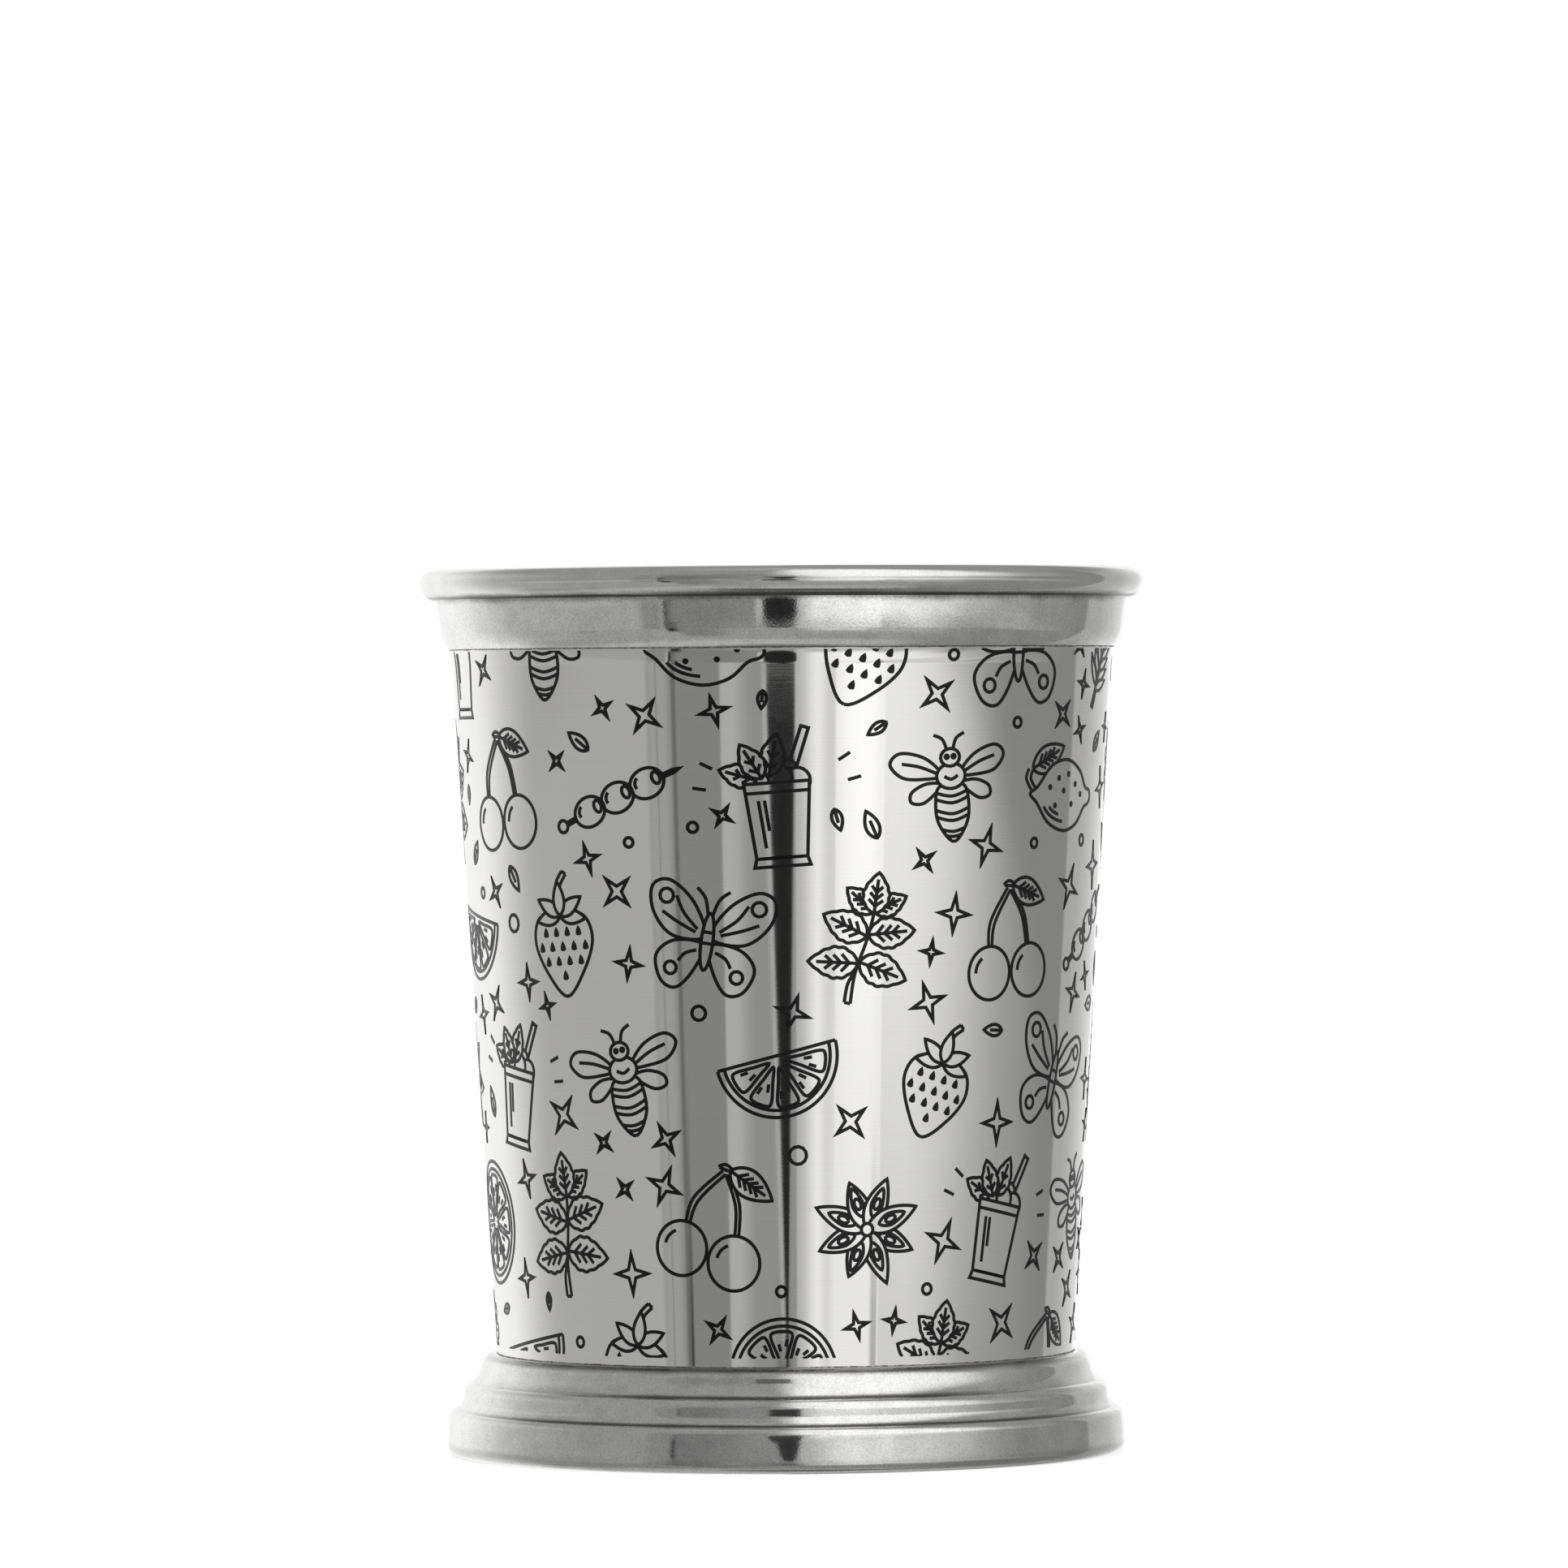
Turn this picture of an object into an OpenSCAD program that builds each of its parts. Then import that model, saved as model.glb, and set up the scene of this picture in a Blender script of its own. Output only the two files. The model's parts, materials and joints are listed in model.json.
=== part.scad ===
// Julep cup: a drawn and rolled steel cup with a rim band and a stepped foot.
// Every piece is turned about Z. The cup stands on z = 0.

/* [Cup] */
// Height from the standing face to the top of the rim bead
cup_h = 108; // [90:1:125]
// Diameter over the rim bead
rim_d = 88.4; // [84:0.2:94]
// Outer diameter of the wall where it leaves the foot
wall_foot_d = 70.5; // [60:0.5:78]
// Outer diameter of the wall where its top starts to flare
wall_top_d = 80.5; // [74:0.5:82]
// Thickness of the cup's sheet
sheet_t = 0.9; // [0.5:0.05:1.1]
// Outer radius of the turn from the floor into the wall
floor_round = 3; // [1.5:0.5:8]

/* [Rim] */
// Diameter of the rolled bead
bead_d = 3.64; // [3.2:0.04:4.6]
// Height of the rim, from the band's lower edge to the top of the bead
rim_h = 9.6; // [7.6:0.2:16]
// Thickness of the rim band
band_t = 0.9; // [0.6:0.05:1.1]
// Radius of the round that brings the band in to the wall
band_round = 4.5; // [2:0.25:7]
// Thickness of the band at its dressed lower edge
band_edge_t = 0.25; // [0.15:0.05:0.5]
// Height of flared wall that shows under the band
flare_h = 2.4; // [1:0.2:6]
// How far the band's top edge reaches up from the bottom of the bead
band_tuck = 1.2; // [0.5:0.1:1.5]
// Gap between the rolled edge of the bead and the band
curl_gap = 0.02; // [0:0.01:0.2]

/* [Foot] */
// Height of the top step, where the foot meets the wall
top_step_h = 12.35; // [11:0.25:16]
// Height of the middle step
mid_step_h = 9.45; // [8.2:0.25:10.2]
// Height of the low step
low_step_h = 6.07; // [4.5:0.25:7.2]
// How far the top step stands out from the wall
top_step_w = 2.05; // [1.95:0.05:4]
// How far the middle step stands out from the top step
mid_step_w = 2.18; // [1.5:0.05:4]
// How far the low step stands out from the middle step
low_step_w = 1.69; // [1.2:0.05:4]
// How far the toe stands out from the low step
toe_flare = 0.21; // [0:0.03:1]
// Radius of the top step's round
top_round = 1.6; // [1.1:0.1:1.7]
// Radius of the middle step's round
mid_round = 2.2; // [1.2:0.1:2.4]
// Radius of the low step's round
low_round = 1.32; // [1.1:0.02:2]
// Radius of the toe, down to the standing face
toe_round = 1.3; // [1.1:0.05:2]
// Radius of the hollow between the top and the middle step
upper_hollow = 2; // [0.5:0.1:3]
// Radius of the hollow between the middle and the low step
lower_hollow = 1; // [0.5:0.1:2]
// Thickness of the foot's sheet
foot_t = 0.8; // [0.5:0.05:1]
// Width of the edge turned in under the foot, from its outside
flange_w = 5.4; // [3:0.1:8]

/* [Base plate] */
// Thickness of the plate that closes the foot
plate_t = 0.8; // [0.5:0.05:1.5]
// Clearance between the plate's edge and the inside of the toe
plate_fit = 0.1; // [0:0.05:1]

/* [Solder] */
// Leg of the solder fillet where the foot meets the wall
foot_fillet = 0.3; // [0.1:0.05:0.35]
// Leg of the solder fillet between the foot's flange and the base plate
plate_fillet = 0.4; // [0.1:0.05:0.45]

/* [Hidden] */

$fn = 128;
// Turn of one straight facet along a round, in degrees
arc_step = 7.5;
// Points closer than this are one point
same_point = 0.0001;

// The wall is a cone from the foot up to the flare, and seats on the base plate.
foot_r = wall_foot_d / 2;
flare_r = wall_top_d / 2;
flare_z = cup_h - rim_h - flare_h;
wall_slope = (flare_r - foot_r) / (flare_z - top_step_h);
wall_a = atan(wall_slope);
floor_z = foot_t + plate_t;
floor_c_z = floor_z + floor_round;
floor_c = [wall_r(floor_c_z) - floor_round / cos(wall_a), floor_c_z];

// The flare runs straight from the top of the cone until it touches the inside of the curl.
bead_r = bead_d / 2;
bead_c = [rim_d / 2 - bead_r, cup_h - bead_r];
curl_r = bead_r - sheet_t;
to_bead = bead_c - [flare_r, flare_z];
flare_a = atan2(to_bead.x, to_bead.y) - asin(curl_r / norm(to_bead));

// The curl stops at the outside of the band, whose top edge it holds.
curl_end = band_t - curl_r + curl_gap;
curl_end_a = acos(curl_end / (curl_end > 0 ? curl_r : bead_r));

// The band lies on the flare, and its round starts from the dressed lower edge.
seam_z = cup_h - rim_h;
seam_up = (seam_z - bead_c.y - curl_r * sin(flare_a)) / cos(flare_a);
band_top_up = band_tuck - bead_r;
band_round_a = acos(1 - (band_t - band_edge_t) / band_round);

// The foot's rounds stand one outside the other, with a hollow between each two.
top_r = foot_r + top_step_w;
mid_r = top_r + mid_step_w;
low_r = mid_r + low_step_w;
toe_r = low_r + toe_flare;
top_c = [top_r - top_round, top_step_h - top_round];
mid_c = [mid_r - mid_round, mid_step_h - mid_round];
low_c = [low_r - low_round, low_step_h - low_round];
toe_c = [toe_r - toe_round, toe_round];
upper_c = between_rounds(top_c, top_round, mid_c, mid_round, upper_hollow);
lower_c = between_rounds(mid_c, mid_round, low_c, low_round, lower_hollow);
side_a = heading(toe_c - low_c) + acos((low_round - toe_round) / norm(toe_c - low_c));
flange_r = toe_r - flange_w;
plate_r = toe_c.x - plate_fit;

// Outer radius of the cone at a height
function wall_r(z) = foot_r + (z - top_step_h) * wall_slope;

// Angle of a direction
function heading(v) = atan2(v.y, v.x);

// Unit vector to the left of a direction
function left_of(v) = [-v.y, v.x] / norm(v);

// Points along a round, from one angle to another
function arc(centre, radius, from, to) =
    let (steps = ceil(abs(to - from) / arc_step))
    [for (i = [0 : steps])
        let (a = from + (to - from) * i / steps)
        centre + radius * [cos(a), sin(a)]];

// Centre of a hollow of radius r that touches two rounds from outside
function between_rounds(a, a_round, b, b_round, r) =
    let (
        apart = norm(b - a),
        to_a = a_round + r,
        to_b = b_round + r,
        along = (to_a * to_a - to_b * to_b + apart * apart) / (2 * apart)
    )
    a + along * (b - a) / apart + sqrt(to_a * to_a - along * along) * left_of(b - a);

// Place on the flare: a distance out from the wall, and one up along it from the bead's middle
function on_flare(out, up) =
    bead_c
    + (out - curl_r) * [cos(flare_a), -sin(flare_a)]
    + up * [sin(flare_a), cos(flare_a)];

// A path without its repeated points
function cleaned(path) =
    [for (i = [0 : len(path) - 1])
        if (i == 0 || norm(path[i] - path[i - 1]) > same_point) path[i]];

// Offset direction at a point of a path, to its left, long enough to keep both sides parallel
function mitre(path, i) =
    let (
        last = len(path) - 1,
        before = left_of(path[max(i, 1)] - path[max(i, 1) - 1]),
        after = left_of(path[min(i, last - 1) + 1] - path[min(i, last - 1)])
    )
    (before + after) / (1 + before * after);

// Outline of a sheet whose one face follows a path, with its thickness to the left of it
function sheet(path, thickness) =
    let (last = len(path) - 1)
    concat(path, [for (i = [last : -1 : 0]) path[i] + thickness * mitre(path, i)]);

// Outer face of the cup: floor, corner, cone, flare and the hollow side of the curl
cup_path = cleaned(concat(
    [[0, floor_z]],
    arc(floor_c, floor_round, -90, -wall_a),
    [[flare_r, flare_z]],
    arc(bead_c, curl_r, 180 - flare_a, -curl_end_a - flare_a)
));

// Outer face of the foot: lip, three steps with two hollows, side, toe and flange
foot_path = cleaned(concat(
    [[foot_r - sheet_t, top_step_h]],
    arc(top_c, top_round, 90, heading(upper_c - top_c)),
    arc(upper_c, upper_hollow, heading(upper_c - top_c) - 180, heading(upper_c - mid_c) - 180),
    arc(mid_c, mid_round, heading(upper_c - mid_c), heading(lower_c - mid_c)),
    arc(lower_c, lower_hollow, heading(lower_c - mid_c) - 180, heading(lower_c - low_c) - 180),
    arc(low_c, low_round, heading(lower_c - low_c), side_a),
    arc(toe_c, toe_round, side_a, -90),
    [[flange_r, 0]]
));

// Drawn cup, with its lip rolled outward over the band
module cup_shell() {
    color("silver")
        rotate_extrude()
            polygon(sheet(cup_path, sheet_t));
}

// Formed band on the outside of the flare, held at its top by the rolled bead
module rim_band() {
    color("gainsboro")
        rotate_extrude()
            polygon(concat(
                [on_flare(0, seam_up)],
                arc(
                    on_flare(band_t - band_round, seam_up + band_round * sin(band_round_a)),
                    band_round, -band_round_a - flare_a, -flare_a
                ),
                [on_flare(band_t, band_top_up), on_flare(0, band_top_up)]
            ));
}

// Solder fillet under the band's lower edge
module rim_solder() {
    color("gray")
        rotate_extrude()
            polygon([
                on_flare(0, seam_up),
                on_flare(0, seam_up - band_edge_t),
                on_flare(band_edge_t, seam_up)
            ]);
}

// Hollow stepped foot, its lip fitted to the cone and its lower edge turned in flat
module foot_ring() {
    color("gainsboro")
        rotate_extrude()
            difference() {
                polygon(sheet(foot_path, -foot_t));
                polygon([
                    [0, floor_z], [wall_r(floor_z), floor_z],
                    [flare_r, flare_z], [0, flare_z]
                ]);
            }
}

// Solder fillet between the foot's top step and the wall
module foot_solder() {
    color("gray")
        rotate_extrude()
            polygon([
                [foot_r, top_step_h],
                [foot_r + foot_fillet, top_step_h],
                [wall_r(top_step_h + foot_fillet), top_step_h + foot_fillet]
            ]);
}

// Disc that lies on the turned-in flange and closes the foot under the cup's floor
module base_plate() {
    color("lightgray")
        translate([0, 0, foot_t])
            cylinder(h = plate_t, r = plate_r);
}

// Solder fillet in the corner between the flange's edge and the plate's underside
module base_solder() {
    color("gray")
        rotate_extrude()
            polygon([
                [flange_r, foot_t],
                [flange_r - plate_fillet, foot_t],
                [flange_r, foot_t - plate_fillet]
            ]);
}

cup_shell();
rim_band();
rim_solder();
foot_ring();
foot_solder();
base_plate();
base_solder();
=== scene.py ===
import json
import math
import random

import bpy
import numpy as np
from mathutils import Matrix, Vector

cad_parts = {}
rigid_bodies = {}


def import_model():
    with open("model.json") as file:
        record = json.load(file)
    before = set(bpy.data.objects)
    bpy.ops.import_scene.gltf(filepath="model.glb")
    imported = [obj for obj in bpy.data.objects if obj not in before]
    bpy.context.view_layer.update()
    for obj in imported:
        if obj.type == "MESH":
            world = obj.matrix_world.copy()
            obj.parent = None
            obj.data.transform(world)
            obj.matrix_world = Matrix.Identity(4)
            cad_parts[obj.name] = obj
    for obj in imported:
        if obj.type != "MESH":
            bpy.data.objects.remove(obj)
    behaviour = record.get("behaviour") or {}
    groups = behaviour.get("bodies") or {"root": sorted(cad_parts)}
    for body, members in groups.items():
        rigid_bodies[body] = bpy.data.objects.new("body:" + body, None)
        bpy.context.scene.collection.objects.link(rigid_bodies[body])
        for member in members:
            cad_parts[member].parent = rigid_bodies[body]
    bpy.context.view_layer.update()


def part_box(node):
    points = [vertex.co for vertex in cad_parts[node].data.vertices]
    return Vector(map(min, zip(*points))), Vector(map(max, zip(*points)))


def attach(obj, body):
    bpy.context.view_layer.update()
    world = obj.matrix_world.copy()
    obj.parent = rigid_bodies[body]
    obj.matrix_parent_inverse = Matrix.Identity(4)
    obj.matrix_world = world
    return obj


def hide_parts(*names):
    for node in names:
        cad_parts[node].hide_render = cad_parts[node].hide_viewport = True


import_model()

# Sizes are in millimetres, as in the part's source, and turn into metres when a mesh is made
MM = 0.001
IMAGE_PX = 1932


def lowest(node):
    """Lowest height of a node of the frame."""
    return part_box(node)[0].z / MM


def highest(node):
    """Greatest height of a node of the frame."""
    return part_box(node)[1].z / MM


def outermost(node):
    """Outer radius of a node of the frame."""
    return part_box(node)[1].x / MM


# Cup: what the frame gives, and the sizes of its profile
cup_h = highest("cup_shell")
rim_r = outermost("cup_shell")
floor_z = lowest("cup_shell")
foot_top_z = highest("foot_ring")
wall_foot_r = 35.25
wall_top_r = 40.25
sheet_t = 0.9
floor_round = 3.0
bead_lift = 0.23
flare_turns = ((96.3, 3.42), (96.34, 5.35), (98.5, 9.1))

# Rim: bead, band and the flare that carries them
seam_z = lowest("rim_band")
flare_z = seam_z - 2.4
bead_r = 1.82
band_t = 0.9
band_round = 4.5
band_edge_t = 0.25
band_tuck = 1.2
band_crown = 100.0
curl_gap = 0.02
bead_finish_h = 6.0

# Foot: each step's side radius, its top, its corner round, and how its side leans outward, in degrees from
# upright: below the corner, and then at heights on the way down to the next step. Then the toe and flange.
foot_r = outermost("foot_ring")
steps = (
    (37.21, 12.35, 1.65, 16.2, ((10.65, 16.2), (10.0, 27), (9.5, 36), (8.6, 48))),
    (39.37, 8.98, 1.5, 5.8, ((6.88, 6.0), (6.4, 30), (6.0, 40), (5.2, 54))),
    (41.2, 5.66, 1.12, 6.5, ()))
toe_lean = -0.3
toe_round = 1.3
side_crown = 26.0
foot_t = 0.8
flange_w = 5.4

# Base plate and solder
plate_low_z = lowest("base_plate")
plate_high_z = highest("base_plate")
plate_r = outermost("base_plate")
plate_edge_round = 0.15
rim_fillet = 0.25
foot_fillet = 0.18
plate_fillet = 0.4

# How finely things are turned
AROUND = 256
ARC_STEP = 2.5
FLARE_STEP = 0.35
SWEEP_STEP = 1.6
CROWN_PARTS = 8
HOLD = 0.25
SHARP_FROM = 28
SAME_POINT = 0.0005
NEARLY_NONE = 1e-6

scene = bpy.context.scene
scene.view_settings.view_transform = "Standard"


# Camera

def make_camera():
    """The camera at the photograph's place: nearly level, slightly above the rim's middle height."""
    lens_px = 13695.0
    sensor_mm = 36.0
    data = bpy.data.cameras.new("camera")
    data.sensor_fit = "HORIZONTAL"
    data.sensor_width = sensor_mm
    data.lens = lens_px / IMAGE_PX * sensor_mm
    data.clip_end = 50.0
    camera = bpy.data.objects.new("camera", data)
    scene.collection.objects.link(camera)
    pitch_down = math.radians(0.4644)
    roll = math.radians(-0.35)
    camera.location = (0.000178, -1.3594, 0.0927)
    tilt = Matrix.Rotation(math.pi / 2 - pitch_down, 3, "X")
    camera.rotation_euler = (tilt @ Matrix.Rotation(roll, 3, "Z")).to_euler("XYZ")
    scene.camera = camera


# Profiles

def point(r, z):
    return np.array([r, z], float)


def turned(angle):
    """Unit vector at an angle in degrees."""
    return point(math.cos(math.radians(angle)), math.sin(math.radians(angle)))


def heading(v):
    """Angle of a direction, in degrees."""
    return math.degrees(math.atan2(v[1], v[0]))


def left_of(v):
    """Unit vector to the left of a direction."""
    return point(-v[1], v[0]) / np.linalg.norm(v)


def arc(centre, radius, start, end):
    """Points along a round, from one angle to another."""
    steps = max(1, math.ceil(abs(end - start) / ARC_STEP))
    return [centre + radius * turned(start + (end - start) * i / steps) for i in range(steps + 1)]


def crowned(start, end, radius):
    """Points along a flat stretch that stands out a little, as a round of a large radius."""
    chord = end - start
    half = np.linalg.norm(chord) / 2
    upward = 1 if chord[1] > 0 else -1
    centre = (start + end) / 2 + upward * math.sqrt(radius * radius - half * half) * left_of(chord)
    spread = upward * math.degrees(math.asin(half / radius))
    middle = heading((start + end) / 2 - centre)
    return [centre + radius * turned(middle + spread * (2 * i / CROWN_PARTS - 1))
            for i in range(CROWN_PARTS + 1)]


def bent(start, turns, slope_step):
    """Points along a wall whose slope changes evenly between given heights, in degrees from upright."""
    path = [start]
    for (z1, slope1), (z2, slope2) in zip(turns, turns[1:]):
        steps = max(2, round(abs(slope2 - slope1) / slope_step))
        for i in range(steps):
            slope = slope1 + (slope2 - slope1) * (i + 0.5) / steps
            rise = (z2 - z1) / steps
            path.append(path[-1] + point(rise * math.tan(math.radians(slope)), rise))
    return path


def cleaned(path):
    """A path without its repeated points."""
    kept = [path[0]]
    for p in path[1:]:
        if np.linalg.norm(p - kept[-1]) > SAME_POINT:
            kept.append(p)
    return kept


def offset(path, distance):
    """A path moved to its left, with both sides parallel."""
    shifted = []
    last = len(path) - 1
    for i, p in enumerate(path):
        before = left_of(path[max(i, 1)] - path[max(i, 1) - 1])
        after = left_of(path[min(i, last - 1) + 1] - path[min(i, last - 1)])
        shifted.append(p + distance * (before + after) / (1 + before @ after))
    return shifted


def sheet(path, thickness):
    """Closed outline of a sheet with one face on the path, and its thickness to the left of it."""
    return path + offset(path, thickness)[::-1]


def held(path):
    """A path with extra points close to the ends of its long stretches, so that shading stays true there."""
    kept = [path[0]]
    for a, b in zip(path, path[1:]):
        length = np.linalg.norm(b - a)
        if length > 4 * HOLD:
            kept.append(a + (b - a) * HOLD / length)
            kept.append(b - (b - a) * HOLD / length)
        kept.append(b)
    return kept


wall_slope = (wall_top_r - wall_foot_r) / (flare_z - foot_top_z)
wall_a = math.degrees(math.atan(wall_slope))
bead_c = point(rim_r - bead_r, cup_h - bead_r)
curl_r = bead_r - sheet_t
to_bead = bead_c - point(wall_top_r, flare_z)
flare_a = math.degrees(math.atan2(to_bead[0], to_bead[1]) - math.asin(curl_r / np.linalg.norm(to_bead)))
curl_end = band_t - curl_r + curl_gap
curl_end_a = math.degrees(math.acos(curl_end / (curl_r if curl_end > 0 else bead_r)))
seam_up = (seam_z - bead_c[1] - curl_r * math.sin(math.radians(flare_a))) / math.cos(math.radians(flare_a))
band_top_up = band_tuck - bead_r
band_round_a = math.degrees(math.acos(1 - (band_t - band_edge_t) / band_round))


def wall_r(z):
    """Outer radius of the cone at a height."""
    return wall_foot_r + (z - foot_top_z) * wall_slope


def on_flare(out, up):
    """Place on the flare: a distance out from the wall, and one up along it from the bead's middle."""
    across = point(math.cos(math.radians(flare_a)), -math.sin(math.radians(flare_a)))
    along = point(math.sin(math.radians(flare_a)), math.cos(math.radians(flare_a)))
    return bead_c + (out - curl_r) * across + up * along


def lifted(p):
    """A point of the bead, moved up the most at the bead's middle, so that its widest place sits high."""
    out = (p[1] - bead_c[1]) / bead_r
    return point(p[0], p[1] + bead_lift * max(0.0, 1 - out * out))


def cup_outline():
    """The cup's sheet: floor, corner, cone, flare and the lip rolled outward into the bead."""
    floor_c = point(wall_r(floor_z + floor_round) - floor_round / math.cos(math.radians(wall_a)),
                    floor_z + floor_round)
    corner = arc(floor_c, floor_round, -90, -wall_a)
    curl = arc(bead_c, curl_r, 180 - flare_a, -curl_end_a - flare_a)
    flare_z0 = flare_turns[0][0]
    flare = bent(point(wall_r(flare_z0), flare_z0), flare_turns, FLARE_STEP)
    outside = cleaned([point(0, floor_z)] + corner + flare + curl)
    outside = held(outside)
    return [lifted(p) for p in sheet(outside, sheet_t)], len(outside)


def band_outline():
    """The band's outline: its dressed edge, the round, and a slightly crowned face up into the bead."""
    centre = on_flare(band_t - band_round, seam_up + band_round * math.sin(math.radians(band_round_a)))
    turn = arc(centre, band_round, -band_round_a - flare_a, -flare_a)
    face = crowned(turn[-1], on_flare(band_t, band_top_up), band_crown)
    return cleaned([on_flare(0, seam_up)] + turn + face + [on_flare(0, band_top_up)])


def foot_outline():
    """The foot's sheet: lip, three steps, crowned side, toe and the flange under it.
    The side of each step sweeps outward until it meets the round corner of the step below."""
    path = [point(wall_r(foot_top_z), foot_top_z)]
    start = 90
    for number, (side_r, top, corner, lean, leans) in enumerate(steps):
        path += arc(point(side_r - corner, top - corner), corner, start, lean)
        if not leans:
            break
        next_r, next_top, next_corner = steps[number + 1][:3]
        next_centre = point(next_r - next_corner, next_top - next_corner)
        for p in bent(path[-1], [(z, -a) for z, a in ((path[-1][1], lean), *leans)], SWEEP_STEP):
            start = heading(p - next_centre)
            if np.linalg.norm(p - next_centre) < next_corner:
                break
            path.append(p)
    toe_turn = arc(point(foot_r - toe_round, toe_round), toe_round, toe_lean, -90)
    path += crowned(path[-1], toe_turn[0], side_crown)
    path += toe_turn
    path.append(point(foot_r - flange_w, 0))
    path = held(cleaned(path))
    inner_face = offset(path, -foot_t)
    clear = [p for p in inner_face if p[0] > wall_r(p[1]) + 0.001 or p[1] < floor_z]
    meet_z = clear[0][1]
    return [point(wall_r(meet_z), meet_z)] + clear + path[::-1]


def plate_outline():
    """The plate that closes the foot, its edge broken by a small round."""
    low_c = point(plate_r - plate_edge_round, plate_low_z + plate_edge_round)
    high_c = point(plate_r - plate_edge_round, plate_high_z - plate_edge_round)
    path = [point(0, plate_low_z)] + arc(low_c, plate_edge_round, -90, 0)
    path += arc(high_c, plate_edge_round, 0, 90) + [point(0, plate_high_z)]
    return held(path)


# Turned meshes

def lathe(name, outline, lumps=None, skin=None):
    """Turns a closed outline about Z into a mesh with smooth faces and sharp edges where it has corners.
    The piece's map runs round it and along its outline, both in metres.
    lumps(angle, index) gives how far a point of the outline moves outward, in millimetres.
    skin(index) gives the number of the finish for the faces from one point of the outline to the next."""
    rings = np.array(outline)
    if signed_area(rings) < 0:
        raise ValueError(name + ": the outline has to run anticlockwise")
    count = len(rings)
    on_axis = rings[:, 0] < NEARLY_NONE
    angles = np.arange(AROUND) * 2 * math.pi / AROUND + math.pi / 2
    along = np.concatenate([[0], np.cumsum(np.linalg.norm(np.diff(rings, axis=0), axis=1))])
    coords = []
    first = []
    for k in range(count):
        first.append(len(coords))
        if on_axis[k]:
            coords.append((0.0, 0.0, rings[k, 1]))
            continue
        for j, a in enumerate(angles):
            r, z = rings[k]
            if lumps is not None:
                dr, dz = lumps(j, k)
                r += dr
                z += dz
            coords.append((r * math.cos(a), r * math.sin(a), z))
    faces = []
    maps = []
    finishes = []
    around = 2 * math.pi * rings[:, 0].max() / AROUND
    for k in range(count):
        k2 = (k + 1) % count
        if on_axis[k] and on_axis[k2]:
            continue
        v1 = along[k]
        v2 = along[k2] if k2 else along[k] + np.linalg.norm(rings[0] - rings[k])
        for j in range(AROUND):
            j2 = (j + 1) % AROUND
            u1 = j * around
            u2 = (j + 1) * around
            if on_axis[k]:
                face = (first[k], first[k2] + j2, first[k2] + j)
                uv = ((u1, v1), (u2, v2), (u1, v2))
            elif on_axis[k2]:
                face = (first[k] + j, first[k] + j2, first[k2])
                uv = ((u1, v1), (u2, v1), (u1, v2))
            else:
                face = (first[k] + j, first[k] + j2, first[k2] + j2, first[k2] + j)
                uv = ((u1, v1), (u2, v1), (u2, v2), (u1, v2))
            faces.append(face)
            maps += uv
            finishes.append(skin(k) if skin else 0)
    mesh = bpy.data.meshes.new(name)
    mesh.from_pydata([tuple(MM * c for c in v) for v in coords], [], faces)
    layer = mesh.uv_layers.new(name="round_and_along")
    layer.data.foreach_set("uv", (np.array(maps, np.float32) * MM).ravel())
    mesh.polygons.foreach_set("material_index", finishes)
    mesh.polygons.foreach_set("use_smooth", [True] * len(faces))
    mesh.set_sharp_from_angle(angle=math.radians(SHARP_FROM))
    mesh.update()
    piece = bpy.data.objects.new(name, mesh)
    scene.collection.objects.link(piece)
    return piece


def signed_area(rings):
    """Area inside a closed outline, positive when it runs anticlockwise."""
    r, z = rings[:, 0], rings[:, 1]
    return float(np.sum(r * np.roll(z, -1) - np.roll(r, -1) * z)) / 2


# Shader tools

class Tree:
    """Short calls for building a node tree."""

    def __init__(self, tree):
        self.tree = tree

    def node(self, kind, **settings):
        made = self.tree.nodes.new(kind)
        for key, value in settings.items():
            setattr(made, key, value)
        return made

    def put(self, value, socket):
        """Links an output to an input, or sets the input to a plain value."""
        if isinstance(value, bpy.types.NodeSocket):
            self.tree.links.new(value, socket)
        else:
            socket.default_value = value

    def fed(self, kind, feeds, **settings):
        """A node whose inputs, by name or number, are linked or set."""
        made = self.node(kind, **settings)
        for key, value in feeds.items():
            self.put(value, made.inputs[key])
        return made

    def maths(self, operation, *values):
        return self.fed("ShaderNodeMath", dict(enumerate(values)), operation=operation).outputs[0]

    def ramp(self, value, low, high, to_low=0.0, to_high=1.0):
        """A smooth step of a value from low to high."""
        feeds = {"Value": value, "From Min": low, "From Max": high, "To Min": to_low, "To Max": to_high}
        return self.fed("ShaderNodeMapRange", feeds, interpolation_type="SMOOTHSTEP").outputs["Result"]

    def mix(self, factor, a, b):
        """A number between a and b."""
        return self.fed("ShaderNodeMix", {0: factor, 2: a, 3: b}, data_type="FLOAT").outputs[0]

    def colour(self, factor, a, b):
        """A colour between a and b, each an output or a plain colour."""
        a, b = ((*c, 1) if isinstance(c, tuple) else c for c in (a, b))
        return self.fed("ShaderNodeMix", {0: factor, 6: a, 7: b}, data_type="RGBA").outputs[2]

    def noise(self, vector, scale, detail=2.0, roughness=0.5):
        feeds = {"Vector": vector, "Scale": scale, "Detail": detail, "Roughness": roughness}
        return self.fed("ShaderNodeTexNoise", feeds).outputs["Fac"]

    def parts(self, vector):
        """The x, y and z of a vector."""
        return self.fed("ShaderNodeSeparateXYZ", {0: vector}).outputs

    def vector(self, *values):
        """A vector from its x, y and z."""
        return self.fed("ShaderNodeCombineXYZ", dict(enumerate(values))).outputs[0]

    def relief(self, height, metres, shader):
        """Fine relief on a material."""
        bump = self.fed("ShaderNodeBump", {"Height": height, "Distance": metres})
        self.put(bump.outputs[0], shader.inputs["Normal"])


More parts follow.
